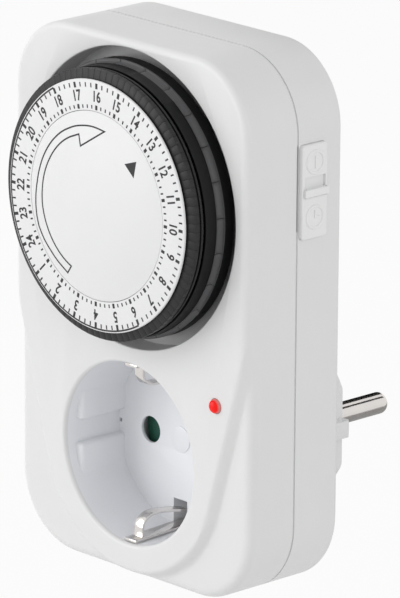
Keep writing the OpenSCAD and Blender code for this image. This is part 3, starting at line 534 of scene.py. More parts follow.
# ---- Plug body ----
# A hollow boss of the same white plastic that reaches into the wall socket. Its
# sides are flat with a rib along each, and the earth strips lie in two grooves.
plug_r = 18.8 * mm
plug_flat = 16.3 * mm
rib = 1.9 * mm
flat_reach = 9.8 * mm
groove_w, groove_in_z = 3.2 * mm, 17.2 * mm
groove_near = front_y + 29.6 * mm
link_reach, link_far = 18.9 * mm, front_y + 31 * mm
plug_hollow_r, plug_hollow_far = 15.6 * mm, front_y + 37.5 * mm
pin_hole_r = 2.22 * mm

boss = round_bar("plug_boss", 0, 0, plug_r, rear_y - 0.5 * mm, 0, 128)
pick(boss, "edges", at_depth(0))
round_edges(0.7 * mm, 3)
for side in (-1, 1):
    for up in (-1, 1):
        near_x, far_x = sorted((side * plug_flat, side * (plug_r + mm)))
        low, high = sorted((up * rib, up * flat_reach))
        cut(boss, block("flat", (near_x, rear_y - mm, low), (far_x, mm, high)))
for up in (-1, 1):
    low, high = sorted((up * groove_in_z, up * 20 * mm))
    cut(boss, block("groove", (-groove_w, groove_near, low), (groove_w, mm, high)))
cut(boss, round_bar("spigot", 0, 0, spigot_r - 0.02 * mm, rear_y - 2.2 * mm, rear_y, 128), "UNION")
cut(boss, round_bar("core", 0, 0, plug_hollow_r, rear_y - 4 * mm, plug_hollow_far, 96))
cut(boss, block(
    "cross_slot", (-groove_w, groove_near, -link_reach), (groove_w, link_far, link_reach)
))
for x in (-pin_x, pin_x):
    cut(boss, round_bar("pin_hole", x, 0, pin_hole_r, front_y + 36 * mm, mm, 48))
close(boss, math.radians(30))
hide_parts("plug_body")
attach(boss, "housing")
boss.data.materials.append(shell_plastic)

# ---- Plug pins and the metal of the earth path ----
# Turned pins and pressed strips of nickel-plated brass. The plating is bright and
# faintly warm, with fine marks along the way that they were drawn.
plating = Finish("nickel_plate")
drawn = plating.grain(900, 3, (6, 0.25, 6))
cloud = plating.grain(160, 3)
nickel_plate = plating.surface(plating.node(
    "ShaderNodeBsdfPrincipled", None, Metallic=1.0,
    Base_Color=plating.blend(cloud, (0.66, 0.63, 0.605, 1), (0.76, 0.73, 0.705, 1)),
    Roughness=0.09 + 0.08 * drawn, Normal=plating.bump(drawn, 0.00001, 0.3),
))


def dress(material, *names):
    """Gives carried-over solids a material."""
    for name in names:
        piece = node[name]
        piece.data.materials.clear()
        piece.data.materials.append(material)


dress(nickel_plate, "plug_pin_live", "plug_pin_neutral", "plug_earth_strips", "earth_link")

# ---- Housing screws ----
# Four zinc-plated screws with a rounded head and a cross recess. They go in from
# behind, sunk in the rear shell, and hold the two shells together.
screw_head_r, screw_shank_r = 2.8 * mm, 1.45 * mm
screw_length, screw_head_t = 19.2 * mm, 1.8 * mm
screw_top = rear_y - 0.6 * mm
cross_long, cross_short, cross_depth = 1.6 * mm, 0.35 * mm, 1.1 * mm

zinc = Finish("zinc_plate")
speckle = zinc.grain(1400, 4)
sheen = zinc.grain(220, 3)
zinc_plate = zinc.surface(zinc.node(
    "ShaderNodeBsdfPrincipled", None, Metallic=1.0,
    Base_Color=zinc.blend(sheen, (0.50, 0.51, 0.52, 1), (0.64, 0.65, 0.66, 1)),
    Roughness=0.24 + 0.16 * speckle, Normal=zinc.bump(speckle, 0.00001, 0.3),
))


def copies(piece, places):
    """One joined piece with a copy of the first at each place."""
    clear()
    for place in places:
        twin = piece.copy()
        twin.data = piece.data.copy()
        twin.data.transform(place)
        bpy.context.scene.collection.objects.link(twin)
        twin.select_set(True)
    name = piece.name
    bpy.data.objects.remove(piece)
    bpy.context.view_layer.objects.active = bpy.context.selected_objects[0]
    bpy.ops.object.join()
    joined = bpy.context.object
    joined.name = joined.data.name = name
    return joined


screw = round_bar("cross_head_screws", 0, 0, screw_head_r, screw_top - screw_head_t, screw_top, 32)
pick(screw, "edges", at_depth(screw_top))
round_edges(0.7 * mm, 4)
cut(screw, round_bar("shank", 0, 0, screw_shank_r, screw_top - screw_length, screw_top - mm, 24), "UNION")
for x, z in ((cross_long, cross_short), (cross_short, cross_long)):
    cut(screw, block("recess", (-x, screw_top - cross_depth, -z), (x, screw_top + mm, z)))
close(screw)
screw = copies(screw, [Matrix.Translation((x, 0, z)) for x, z in screw_places])
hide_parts("housing_screws")
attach(screw, "housing")
screw.data.materials.append(zinc_plate)

# ---- Socket well ----
# A round well in a glossier, slightly blue white, held behind the front shell. Two
# pairs of rounded blocks leave a groove at each side that guides the plug.
well_near = front_y + 1.05 * mm
floor_y = front_y + 15.5 * mm
chamber_y = floor_y + 5.2 * mm
well_foot_r = 19.5 * mm
well_outer_r = 21.7 * mm
guide_x, guide_near = 17.6 * mm, front_y + 3.0 * mm
guide_low, guide_high = 2.6 * mm, 10.2 * mm
well_flange_r, flange_cut_z = 23.9 * mm, 12 * mm
well_flange_near, well_flange_far = front_y + 6.1 * mm, front_y + 7.2 * mm
floor_seat_r = 20.2 * mm

inside = round_bar("inside", 0, 0, socket_opening_r, well_near - 0.01 * mm, floor_y, 128)
pick(inside, "verts", lambda v: abs(v.co.y - floor_y) < 0.01 * mm)
shrink = well_foot_r / socket_opening_r
bpy.ops.transform.resize(value=(shrink, 1, shrink), center_override=(0, floor_y, 0))
for side in (-1, 1):
    for up in (-1, 1):
        left, right = sorted((side * guide_x, side * 24 * mm))
        low, high = sorted((up * guide_low, up * guide_high))
        guide = block("guide", (left, guide_near, low), (right, floor_y + 3 * mm, high))
        bpy.ops.mesh.select_all(action="SELECT")
        round_edges(1.0 * mm, 5)
        cut(inside, guide)
bowl = round_bar("socket_bowl", 0, 0, well_outer_r, well_near, chamber_y, 128)
flange = round_bar("flange", 0, 0, well_flange_r, well_flange_near, well_flange_far, 96)
cut(flange, block("above", (-30 * mm, front_y, flange_cut_z), (30 * mm, floor_y, 30 * mm)))
cut(bowl, flange, "UNION")
cut(bowl, inside)
cut(bowl, round_bar("floor_seat", 0, 0, floor_seat_r, floor_y - 0.005 * mm, chamber_y + mm, 96))
close(bowl, math.radians(32))
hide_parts("socket_well")
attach(bowl, "housing")

gloss_white = Finish("well_plastic")
flow = gloss_white.grain(60, 2)
grit = gloss_white.grain(2600, 2)
well_plastic = gloss_white.surface(gloss_white.node(
    "ShaderNodeBsdfPrincipled", None, IOR=1.48,
    Base_Color=gloss_white.blend(flow, (0.84, 0.85, 0.88, 1), (0.87, 0.88, 0.905, 1)),
    Roughness=0.26 + 0.06 * gloss_white.grain(300, 3), Normal=gloss_white.bump(grit, 0.000003, 0.2),
))
bowl.data.materials.append(well_plastic)

# ---- Socket floor ----
# The well's floor, moulded with the shutter's chamber behind it: two pin holes with
# softened edges, a slot for each earth clip, and a flat disc over the shutter's pivot.
hole_r = 2.9 * mm
hole_room_r = hole_r + 1.4 * mm
pivot_disc_r, pivot_disc_t = 2.9 * mm, 0.2 * mm
floor_r, floor_thickness = floor_seat_r - 0.02 * mm, 2.2 * mm
pivot_r = 1.5 * mm
shutter_room_r = 14.6 * mm
clip_slot_x, clip_slot_in_z = 2.1 * mm, 13.5 * mm
clip_wall = 19.45 * mm
notch_in_x, notch_out_x, notch_half = 18.5 * mm, 19.3 * mm, 0.4 * mm

base = round_bar("socket_base", 0, 0, floor_r, floor_y, chamber_y, 128)
cut(base, round_bar("chamber", 0, 0, shutter_room_r, floor_y + floor_thickness, chamber_y + mm, 96))
cut(base, round_bar("pivot", 0, 0, pivot_r, floor_y + 1.2 * mm, chamber_y, 32), "UNION")
pivot_disc = round_bar("disc", 0, 0, pivot_disc_r, floor_y - pivot_disc_t, floor_y + 0.5 * mm, 48)
cut(base, pivot_disc, "UNION")
for x in (-pin_x, pin_x):
    cut(base, round_bar("hole", x, 0, hole_r, floor_y - mm, floor_y + 3 * mm, 64))
    cut(base, round_bar("relief", x, 0, hole_room_r, floor_y + 0.7 * mm, floor_y + 3 * mm, 64))
for up in (-1, 1):
    low, high = sorted((up * clip_slot_in_z, up * clip_wall))
    cut(base, block("clip_slot", (-clip_slot_x, floor_y - mm, low), (clip_slot_x, chamber_y + mm, high)))
for side in (-1, 1):
    left, right = sorted((side * notch_in_x, side * notch_out_x))
    cut(base, block("notch", (left, floor_y - mm, -notch_half), (right, floor_y + 1.2 * mm, notch_half)))
reopen(base)
for x in (-pin_x, pin_x):
    pick(base, "edges", lambda e: on_circle(e, x, 0, hole_r, floor_y))
    round_edges(0.25 * mm, 3)
pick(base, "edges", lambda e: on_circle(e, 0, 0, pivot_disc_r, floor_y - pivot_disc_t))
round_edges(0.1 * mm, 2)
close(base, math.radians(32))
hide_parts("socket_floor")
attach(base, "housing")
base.data.materials.append(well_plastic)
dress(well_plastic, "shutter_cover")

# ---- Shutter and its spring ----
# Green plastic wings that turn on the pivot and close both pin holes. A bent wire
# spring on the same pivot brings them back.


def plain_finish(name, ior, cloud, colours, roughness, relief=(0.00002, 0.3)):
    """A finish whose colour, roughness and relief all follow one cloudy noise."""
    finish = Finish(name)
    noise = finish.grain(*cloud)
    lowest, spread = roughness
    return finish.surface(finish.node(
        "ShaderNodeBsdfPrincipled", None, IOR=ior, Base_Color=finish.blend(noise, *colours),
        Roughness=lowest + spread * noise, Normal=finish.bump(noise, *relief),
    ))


shutter_greens = (0.020, 0.095, 0.065, 1), (0.030, 0.125, 0.088, 1)
shutter_plastic = plain_finish("shutter_plastic", 1.46, (380, 4), shutter_greens, (0.30, 0.15))
dress(shutter_plastic, "shutter")
dress(zinc_plate, "shutter_spring")

# ---- Earth clips ----
# One bent strip of nickel-plated brass. It lies flat against the top and the bottom
# of the well, with an arch at each end that springs against the plug's earth contact.
clip_w = 3.6 * mm
clip_t = 0.6 * mm
clip_seat = 18.85 * mm
clip_top = 14.4 * mm
arch_w = 2.5 * mm
clip_near = front_y + 0.9 * mm
arch_near = front_y + 3.5 * mm
cover_back = front_y + 21.9 * mm


def ribbon(name, route, width, thickness, rounding):
    """A bent strip of sheet metal along a route of (y, z) points, centred on x = 0."""
    clear()
    bpy.ops.mesh.primitive_plane_add(size=width)
    strip = bpy.context.object
    strip.name = strip.data.name = name
    bpy.ops.object.mode_set(mode="EDIT")
    pick(strip, "verts", lambda v: v.co.y > 0)
    bpy.ops.mesh.delete(type="VERT")
    bpy.ops.mesh.select_all(action="SELECT")
    bpy.ops.transform.translate(value=(0, route[0][0] + width / 2, route[0][1]))
    for here, there in zip(route, route[1:]):
        step = (0, there[0] - here[0], there[1] - here[1])
        bpy.ops.mesh.extrude_region_move(TRANSFORM_OT_translate={"value": step})
    pick(strip, "edges", lambda e: not e.is_boundary)
    round_edges(rounding, 5)
    close(strip)
    finish_modifier(strip, "SOLIDIFY", thickness=thickness, offset=0, use_even_offset=True)
    return strip


clips = block(
    "earth_clip_pair", (-clip_w / 2, cover_back - 0.1 * mm, -clip_seat - clip_t / 2),
    (clip_w / 2, cover_back + 0.8 * mm, clip_seat + clip_t / 2),
)
flat = [(cover_back, clip_seat), (floor_y, clip_seat + 0.1 * mm), (clip_near, clip_wall)]
arch = [
    (arch_near, clip_wall - 0.2 * mm),
    (arch_near, clip_top + 2.2 * mm),
    (arch_near + 0.9 * mm, clip_top + 0.9 * mm),
    (arch_near + 2.4 * mm, clip_top + 0.15 * mm),
    (arch_near + 5.0 * mm, clip_top),
    (arch_near + 9.5 * mm, clip_top + 0.7 * mm),
    (floor_y + 1.2 * mm, clip_top + 1.5 * mm),
]
for up in (-1, 1):
    for route, width in ((flat, clip_w), (arch, arch_w)):
        cut(clips, ribbon("strip", [(y, up * z) for y, z in route], width, clip_t, 0.6 * mm), "UNION")
finish_modifier(
    clips, "BEVEL", width=0.12 * mm, segments=2, limit_method="ANGLE", angle_limit=math.radians(50)
)
reopen(clips)
outward()
close(clips, math.radians(40))
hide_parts("earth_clips")
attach(clips, "housing")
clips.data.materials.append(nickel_plate)

# ---- Contacts and busbars ----
# Brass tubes with a slit that grip the plug's pins, and flat brass bars between
# them, the switch and the pins. The brass is as rolled, a little uneven in tone.
rolled = Finish("rolled_brass")
streak = rolled.grain(500, 4, (1, 1, 0.3))
stain = rolled.grain(130, 3)
rolled_brass = rolled.surface(rolled.node(
    "ShaderNodeBsdfPrincipled", None, Metallic=1.0,
    Base_Color=rolled.blend(stain, (0.66, 0.47, 0.22, 1), (0.80, 0.62, 0.33, 1)),
    Roughness=0.22 + 0.2 * streak, Normal=rolled.bump(streak, 0.00001, 0.3),
))
dress(rolled_brass, "contact_live", "contact_neutral", "neutral_link", "supply_bar", "switched_bar")

# ---- Movement plate, motor and gear train ----
# A grey moulded plate behind the dial carries the synchronous motor in its zinc
# can, and the white acetal wheels that take its turns down to one a day.
plate_greys = (0.58, 0.58, 0.585, 1), (0.64, 0.64, 0.645, 1)
gear_whites = (0.66, 0.655, 0.63, 1), (0.72, 0.715, 0.69, 1)
plate_plastic = plain_finish("plate_plastic", 1.46, (700, 4), plate_greys, (0.45, 0.15), (0.00002, 0.4))
gear_acetal = plain_finish("gear_acetal", 1.48, (240, 3), gear_whites, (0.34, 0.1))
dress(plate_plastic, "movement_plate", "microswitch")
dress(gear_acetal, "drive_wheel", "transfer_pinion", "transfer_wheel", "motor_pinion")
dress(
    zinc_plate, "motor", "plate_screws", "motor_screws", "dial_spindle", "thrust_washer", "transfer_arbor",
    "motor_shaft", "lever_pin",
)

# ---- Trip lever and switch button ----
# The lever that a pressed segment tips is nearly black, and the microswitch's small
# plunger behind it is red. Both are moulded.
lever_blacks = (0.010, 0.010, 0.011, 1), (0.015, 0.015, 0.016, 1)
button_reds = (0.40, 0.03, 0.025, 1), (0.48, 0.04, 0.03, 1)
lever_plastic = plain_finish("lever_plastic", 1.46, (600, 3), lever_blacks, (0.5, 0.1))
button_plastic = plain_finish("button_plastic", 1.46, (500, 3), button_reds, (0.4, 0.1))
dress(lever_plastic, "trip_lever")
dress(button_plastic, "switch_button")

# ---- Dial drum ----
# A black moulded drum. The heads of the segments slide under its smooth band, its flange is
# glossier and painted lighter as a sheen, and sprung arms click in the ring of fine teeth inside it.
drum_core_r = 26.35 * mm
slot_out_r = 27.55 * mm
hood_r = 28.86 * mm
band_r = 29.06 * mm
flange_r = 29.25 * mm
skirt_out_r, skirt_in_r = 29.9 * mm, 28.0 * mm
hood_near, band_near = front_y - 5.08 * mm, front_y - 4.1 * mm
flange_near, flange_far = front_y - 2.18 * mm, front_y - 0.41 * mm
skirt_far = front_y + 2.2 * mm
slot_half, line_half = 0.45 * mm, 0.08 * mm
segment_count = 96
segments_per_hour = 4


def radius_from(finish, x, z):
    """Distance of a point of the piece from an axis along Y, in metres."""
    point = finish.place()
    off_x = finish.node("ShaderNodeSeparateXYZ", None, point, output="X") - x
    off_z = finish.node("ShaderNodeSeparateXYZ", None, point, output="Z") - z
    return finish.node("ShaderNodeMath", {"operation": "SQRT"}, off_x * off_x + off_z * off_z)


def merged(name, new_name):
    """A copy of a carried-over solid with its loose triangles joined up."""
    clear()
    piece = bpy.data.objects.new(new_name, node[name].data.copy())
    bpy.context.scene.collection.objects.link(piece)
    piece.data.name = new_name
    piece.data.materials.clear()
    piece.select_set(True)
    bpy.context.view_layer.objects.active = piece
    bpy.ops.object.mode_set(mode="EDIT")
    bpy.ops.mesh.select_all(action="SELECT")
    bpy.ops.mesh.remove_doubles(threshold=0.002 * mm)
    bpy.ops.mesh.dissolve_limited(angle_limit=math.radians(1))
    close(piece)
    return piece


def key_place(index):
    """Turn from the first segment's place at the drum's right to another one's."""
    turned = Matrix.Rotation(-math.radians((index + 0.5) * 360 / segment_count), 4, "Y")
    return Matrix.Translation((0, 0, dial_z)) @ turned


drum = merged("dial_drum", "drum_body")
cut(drum, round_bar("core", 0, dial_z, drum_core_r, front_y - 10 * mm, front_y + 5 * mm, 192), "INTERSECT")
rings = round_bar("band", 0, dial_z, band_r, hood_near, flange_near + 0.2 * mm, 192)
cut(rings, round_bar("flange", 0, dial_z, flange_r, flange_near, flange_far, 192), "UNION")
cut(rings, round_bar("hood", 0, dial_z, hood_r, hood_near - mm, band_near, 192))
# The skirt hides the segments' feet behind the flange; it reaches out past the flange so that its black also
# stands in for the shadow in the gap beside the dial.
cut(rings, round_bar("skirt", 0, dial_z, skirt_out_r, flange_far - 0.2 * mm, skirt_far, 192), "UNION")
cut(rings, round_bar("feet", 0, dial_z, skirt_in_r, flange_far, skirt_far + mm, 192))
cut(rings, round_bar("middle", 0, dial_z, drum_core_r - 0.4 * mm, hood_near - mm, skirt_far + mm, 192))
slot = block("slots", (drum_core_r - mm, hood_near - mm, -slot_half), (slot_out_r, skirt_far + mm, slot_half))
close(slot)
cut(rings, copies(slot, [key_place(index) for index in range(segment_count)]))
line = block(
    "lines", (flange_r - 0.1 * mm, flange_near - mm, -line_half), (flange_r + mm, flange_far, line_half)
)
close(line)
cut(rings, copies(line, [key_place(index + 0.5) for index in range(0, segment_count, segments_per_hour)]))
cut(drum, rings, "UNION")
close(drum, math.radians(30))

# Painted light: the drum's black is set darker still as painted shade in its recessed band, and its flange is
# painted a lighter grey as a painted sheen.
black = Finish("drum_plastic")
reach = radius_from(black, 0.0, dial_z)
flange_sheen = black.node(
    "ShaderNodeMapRange", {"clamp": True}, reach, band_r + 0.05 * mm, band_r + 0.15 * mm, 0.0, 1.0
)
depth = black.node("ShaderNodeSeparateXYZ", None, black.place(), output="Y")
flange_sheen = flange_sheen * (depth < flange_far + 0.01 * mm)
rubbed = black.grain(900, 4, (1, 0.2, 1))
drum_plastic = black.surface(black.node(
    "ShaderNodeBsdfPrincipled", None, IOR=1.32,
    Base_Color=black.blend(flange_sheen, (0.006, 0.006, 0.0065, 1), (0.09, 0.09, 0.093, 1)),
    Roughness=0.42 - 0.12 * flange_sheen + 0.16 * rubbed, Normal=black.bump(rubbed, 0.00003, 0.5),
))
drum.data.materials.append(drum_plastic)
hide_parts("dial_drum")
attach(drum, "dial")

# ---- Dial segments ----
# Ninety-six black keys round the drum. Each has a head with a groove across it,
# a thin stem that slides in the drum's slot, and a foot behind the flange.
head_near, head_far = front_y - 8.45 * mm, front_y - 5.56 * mm
head_in_r, head_out_r = 26.8 * mm, 29.0 * mm
head_half_w = 0.935 * mm
head_slope = 0.55 * mm
notch_near, notch_far = front_y - 6.78 * mm, front_y - 6.09 * mm
rib_out_r = 28.8 * mm
stem_out_r, foot_out_r = 27.4 * mm, 27.9 * mm
stem_half, foot_half = 0.35 * mm, 0.5 * mm
stem_far = front_y + 1.5 * mm
foot_near, foot_far = front_y + 1.25 * mm, front_y + 2.25 * mm
first_pressable, pressable_count = 16, 4

key = block("key", (head_in_r, head_near, -head_half_w), (head_out_r, head_far, head_half_w))
pick(key, "verts", lambda v: v.co.x < head_in_r + 0.1 * mm)
bpy.ops.transform.resize(value=(1, 1, head_in_r / head_out_r), center_override=(0, 0, 0))
pick(key, "verts", lambda v: v.co.x > head_out_r - 0.1 * mm and v.co.y < head_near + 0.1 * mm)
bpy.ops.transform.translate(value=(0, head_slope, 0))
bpy.ops.mesh.select_all(action="SELECT")
round_edges(0.05 * mm, 2)
cut(key, block("groove", (head_out_r - 0.6 * mm, notch_near, -mm), (head_out_r + mm, notch_far, mm)))
cut(key, block("step", (rib_out_r, notch_near + 0.1 * mm, -mm), (head_out_r + mm, head_far + mm, mm)))
cut(key, block(
    "stem", (head_in_r, head_far - 0.2 * mm, -stem_half), (stem_out_r, stem_far, stem_half)
), "UNION")
cut(key, block(
    "foot", (head_in_r, foot_near, -foot_half), (foot_out_r, foot_far, foot_half)
), "UNION")
close(key, math.radians(30))

charcoal = Finish("segment_plastic")
brushed = charcoal.grain(1500, 4, (1, 0.12, 1))
patch = charcoal.grain(260, 3)
segment_plastic = charcoal.surface(charcoal.node(
    "ShaderNodeBsdfPrincipled", None, IOR=1.36,
    Base_Color=charcoal.blend(patch, (0.010, 0.010, 0.011, 1), (0.028, 0.028, 0.029, 1)),
    Roughness=0.38 + 0.18 * brushed, Normal=charcoal.bump(brushed, 0.00003, 0.5),
))

for number in range(pressable_count):
    clear()
    bpy.context.view_layer.objects.active = key
    key.select_set(True)
    bpy.ops.object.duplicate()
    single = bpy.context.object
    single.name = single.data.name = "pressed_key_%d" % (number + 1)
    single.data.transform(key_place(first_pressable + number))
    single.data.materials.append(segment_plastic)
    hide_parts("segment_%d" % (number + 1))
    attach(single, "segment_body_%d" % (number + 1))
fixed = [index for index in range(segment_count) if not 0 <= index - first_pressable < pressable_count]
keys = copies(key, [key_place(index) for index in fixed])
keys.name = keys.data.name = "fixed_keys"
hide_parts("dial_segments")
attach(keys, "dial")
keys.data.materials.append(segment_plastic)

# ---- Number ring and its print ----
# A flat white ring pressed on the drum, printed in black with a tick for every
# quarter of an hour, the hours from 1 to 24, and a thin arc over the night.
face_y = front_y - 9.2 * mm
print_depth = 0.02 * mm
ring_r = 27.0 * mm
ring_hole_r = 20.4 * mm
plate_t = 0.45 * mm
hour_angle = 15
hour_at_top = 16
hour_tick_w, quarter_tick_w = 0.66 * mm, 0.34 * mm
label_size, label_weight, label_narrow = 3.2 * mm, 0.08 * mm, 0.82
label_r = 23.45 * mm
night_out_r, night_in_r = 26.72 * mm, 26.36 * mm
night_from, night_to = 18, 6
tick_bands = (25.2 * mm, 26.4 * mm), (20.7 * mm, 21.7 * mm)
beyond = 40 * mm

ring = round_bar("hour_ring", 0, dial_z, ring_r, face_y + print_depth, face_y + plate_t, 192)
pick(ring, "edges", at_depth(face_y, 0.05 * mm))
round_edges(0.25 * mm, 4)
cut(ring, round_bar("hole", 0, dial_z, ring_hole_r, face_y - mm, face_y + mm, 192))
close(ring)

satin = Finish("dial_face")
even = satin.grain(120, 2)
tooth = satin.grain(2400, 2)
dial_face = satin.surface(satin.node(
    "ShaderNodeBsdfPrincipled", None, IOR=1.45,
    Base_Color=satin.blend(even, (0.79, 0.79, 0.795, 1), (0.82, 0.82, 0.825, 1)),
    Roughness=0.36 + 0.1 * satin.grain(500, 3), Normal=satin.bump(tooth, 0.00001, 0.2),
))
ring.data.materials.append(dial_face)
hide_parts("number_ring")
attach(ring, "dial")

ink_blacks = (0.012, 0.012, 0.013, 1), (0.035, 0.035, 0.037, 1)
black_ink = plain_finish("black_ink", 1.40, (3000, 3), ink_blacks, (0.45, 0.15), (0.000005, 0.3))


def dial_spot(degrees, radius=0.0):
    """Place of a mark on the dial, clockwise from the top, seen from the front."""
    turned = Matrix.Rotation(math.radians(degrees), 4, "Y")
    return Matrix.Translation((0, 0, dial_z)) @ turned @ Matrix.Translation((0, 0, radius))


def tick(name, width, inner, outer):
    """A printed bar from one radius to another."""
    piece = block(name, (-width / 2, face_y, inner), (width / 2, face_y + 2 * print_depth, outer))
    close(piece)
    return piece


marks = []
hour_spots = [dial_spot(hour_angle * hour) for hour in range(24)]
quarters = [step for step in range(segment_count) if step % segments_per_hour]
quarter_spots = [dial_spot(hour_angle / segments_per_hour * step) for step in quarters]
for inner, outer in tick_bands:
    marks.append(copies(tick("hour_ticks", hour_tick_w, inner, outer), hour_spots))
    short_tick = tick("quarter_ticks", quarter_tick_w, inner + 0.15 * mm, outer - 0.1 * mm)
    marks.append(copies(short_tick, quarter_spots))
upright_text = Matrix.Rotation(math.pi / 2, 4, "X") @ Matrix.Diagonal((label_narrow, 1, 1, 1))
for hour in range(1, 25):
    clear()
    bpy.ops.object.text_add()
    label = bpy.context.object
    label.data.body = str(hour)
    label.data.size = label_size
    label.data.extrude = print_depth
    label.data.offset = label_weight
    label.data.align_x = "CENTER"
    label.data.align_y = "CENTER"
    label.data.resolution_u = 4
    bpy.ops.object.convert(target="MESH")
    label = bpy.context.object
    label.data.transform(Matrix.Translation((0, face_y + print_depth, 0)) @ upright_text)
    label.data.transform(dial_spot((hour_at_top - hour) * hour_angle, label_r))
    marks.append(label)
night = round_bar("night_arc", 0, dial_z, night_out_r, face_y, face_y + 2 * print_depth, 192)
cut(night, round_bar("inner", 0, dial_z, night_in_r, face_y - mm, face_y + mm, 192))
for hour, side in ((night_from, 1), (night_to, -1)):
    left, right = sorted((0, side * beyond))
    half_plane = block("day_half", (left, face_y - mm, -beyond), (right, face_y + mm, beyond))
    close(half_plane)
    half_plane.data.transform(dial_spot((hour_at_top - hour) * hour_angle))
    cut(night, half_plane)
close(night)
marks.append(night)
clear()
for mark in marks:
    mark.select_set(True)
bpy.context.view_layer.objects.active = marks[0]
bpy.ops.object.join()
ring_print = bpy.context.object
ring_print.name = ring_print.data.name = "ring_print"
ring_print.data.materials.clear()
ring_print.data.materials.append(black_ink)
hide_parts("number_ring")
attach(ring_print, "dial")

# ---- Centre disc and its print ----
# The disc in the middle doesn't turn. It is printed with the outline of a long
# arrow for the way that the dial turns, and a solid triangle that points at the time.
disc_r = 20.28 * mm
hub_r, bore_r = 4 * mm, 2.52 * mm
hub_far = front_y - 6.95 * mm
arrow_line = 0.34 * mm

disc = round_bar("centre_plate", 0, dial_z, disc_r, face_y + print_depth, face_y + plate_t, 192)
pick(disc, "edges", at_depth(face_y, 0.05 * mm))
round_edges(0.08 * mm, 2)
cut(disc, round_bar("hub", 0, dial_z, hub_r, face_y + 0.3 * mm, hub_far, 48), "UNION")
cut(disc, round_bar("bore", 0, dial_z, bore_r, front_y - 8.5 * mm, front_y - 5 * mm, 32))
close(disc)
disc.data.materials.append(dial_face)
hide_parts("centre_disc")
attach(disc, "housing")


def printed_shape(name, points):
    """A thin flat shape on the dial's face through points given from the dial's centre."""
    clear()
    bpy.ops.mesh.primitive_circle_add(vertices=len(points), radius=mm, fill_type="NGON")
    piece = bpy.context.object
    piece.name = piece.data.name = name
    bpy.ops.object.mode_set(mode="EDIT")
    mesh = bmesh.from_edit_mesh(piece.data)
    mesh.verts.ensure_lookup_table()
    for vert, (x, z) in zip(mesh.verts, points):
        vert.co = (x * mm, face_y + print_depth, dial_z + z * mm)
    mesh.normal_update()
    bmesh.update_edit_mesh(piece.data)
    bpy.ops.mesh.select_all(action="SELECT")
    return piece


def on_arc(pairs):
    """Points on a smooth curve through (radius, angle) pairs, four to each pair."""
    curve = []
    for (r, a), (next_r, next_a) in zip(pairs, pairs[1:] + pairs[-1:]):
        for step in range(4 if (next_r, next_a) != (r, a) else 1):
            radius = r + (next_r - r) * step / 4
            angle = math.radians(a + (next_a - a) * step / 4)
            curve.append((radius * math.cos(angle), radius * math.sin(angle)))
    return curve


outer_arc = on_arc([
    (17.0, 86), (17.2, 95), (17.35, 105), (17.5, 112), (17.6, 119), (17.8, 127), (17.95, 136), (18.1, 145),
    (18.25, 155), (18.4, 165), (18.6, 175), (18.95, 183), (19.25, 190), (19.5, 197), (19.65, 204),
    (19.4, 213), (19.0, 222), (18.75, 232),
])
inner_arc = on_arc([
    (16.3, 243), (16.5, 234), (16.65, 224), (16.75, 212), (16.8, 200), (16.8, 190), (16.6, 178), (16.4, 166),
    (16.15, 154), (15.95, 143), (15.75, 132), (15.5, 121),
])
arrow = printed_shape(
    "arrow_outline", [(3.0, 16.7)] + outer_arc + [(-8.7, -16.5)] + inner_arc + [(-5.5, 14.3), (-5.0, 11.8)]
)
bpy.ops.mesh.inset(thickness=arrow_line)
bpy.ops.mesh.delete(type="FACE")
close(arrow)
finish_modifier(arrow, "SOLIDIFY", thickness=2 * print_depth, offset=0)
pointer = printed_shape("time_mark", [(8.7, 10.9), (12.3, 12.1), (11.5, 8.4)])
close(pointer)
finish_modifier(pointer, "SOLIDIFY", thickness=2 * print_depth, offset=0)
clear()
arrow.select_set(True)
pointer.select_set(True)
bpy.context.view_layer.objects.active = arrow
bpy.ops.object.join()
arrow.name = arrow.data.name = "disc_print"
reopen(arrow)
outward()
close(arrow)
arrow.data.materials.append(black_ink)
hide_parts("centre_disc")
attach(arrow, "housing")

# ---- Switch plate ----
# A white pad glued in its bed on the right side, with rounded edges and a pocket behind
# for the slide's closing plate. A ringed stroke is always on, a ringed clock is timed.
plate_out = half_width + 1.05 * mm
plate_middle = front_y + 18.4 * mm
pad_window_half, pad_window_low, pad_window_high = 3 * mm, 60.8 * mm, 65.3 * mm
pocket_half, pocket_depth, pocket_low, pocket_high = 3.25 * mm, 0.55 * mm, 57.2 * mm, 68.9 * mm
stroke_sign_z, clock_sign_z = 68.3 * mm, 56.5 * mm
sign_r, sign_line_r, sign_height = 2.35 * mm, 0.32 * mm, 0.3 * mm

pad = block(
    "switch_pad", (half_width - bed_depth, switch_near, switch_middle - switch_half),
    (plate_out, switch_far, switch_middle + switch_half),
)
pick(pad, "edges", runs_across)
round_edges(0.8 * mm, 5)
pick(pad, "edges", lambda e: all(v.co.x > plate_out - 0.01 * mm for v in e.verts))
round_edges(0.4 * mm, 4)
cut(pad, block(
    "window", (half_width - mm, plate_middle - pad_window_half, pad_window_low),
    (half_width + 2 * mm, plate_middle + pad_window_half, pad_window_high),
))
cut(pad, block(
    "pocket", (half_width - mm, plate_middle - pocket_half, pocket_low),
    (half_width + pocket_depth, plate_middle + pocket_half, pocket_high),
))
for z in (stroke_sign_z, clock_sign_z):
    clear()
    bpy.ops.mesh.primitive_torus_add(
        major_radius=sign_r, minor_radius=sign_line_r, major_segments=48, minor_segments=10,
        location=(plate_out, plate_middle, z), rotation=(0, math.pi / 2, 0),
    )
    bpy.ops.object.transform_apply(location=True, rotation=True, scale=True)
    cut(pad, bpy.context.object, "UNION")
for sign_z, (left, low), (right, high) in (
    (stroke_sign_z, (-0.2, -1.35), (0.2, 1.35)),
    (clock_sign_z, (-0.2, -0.2), (0.2, 1.5)),
    (clock_sign_z, (-0.2, -0.2), (1.2, 0.2)),
):
    cut(pad, block(
        "stroke", (plate_out - 0.1 * mm, plate_middle + left * mm, sign_z + low * mm),
        (plate_out + sign_height, plate_middle + right * mm, sign_z + high * mm),
    ), "UNION")
close(pad, math.radians(30))
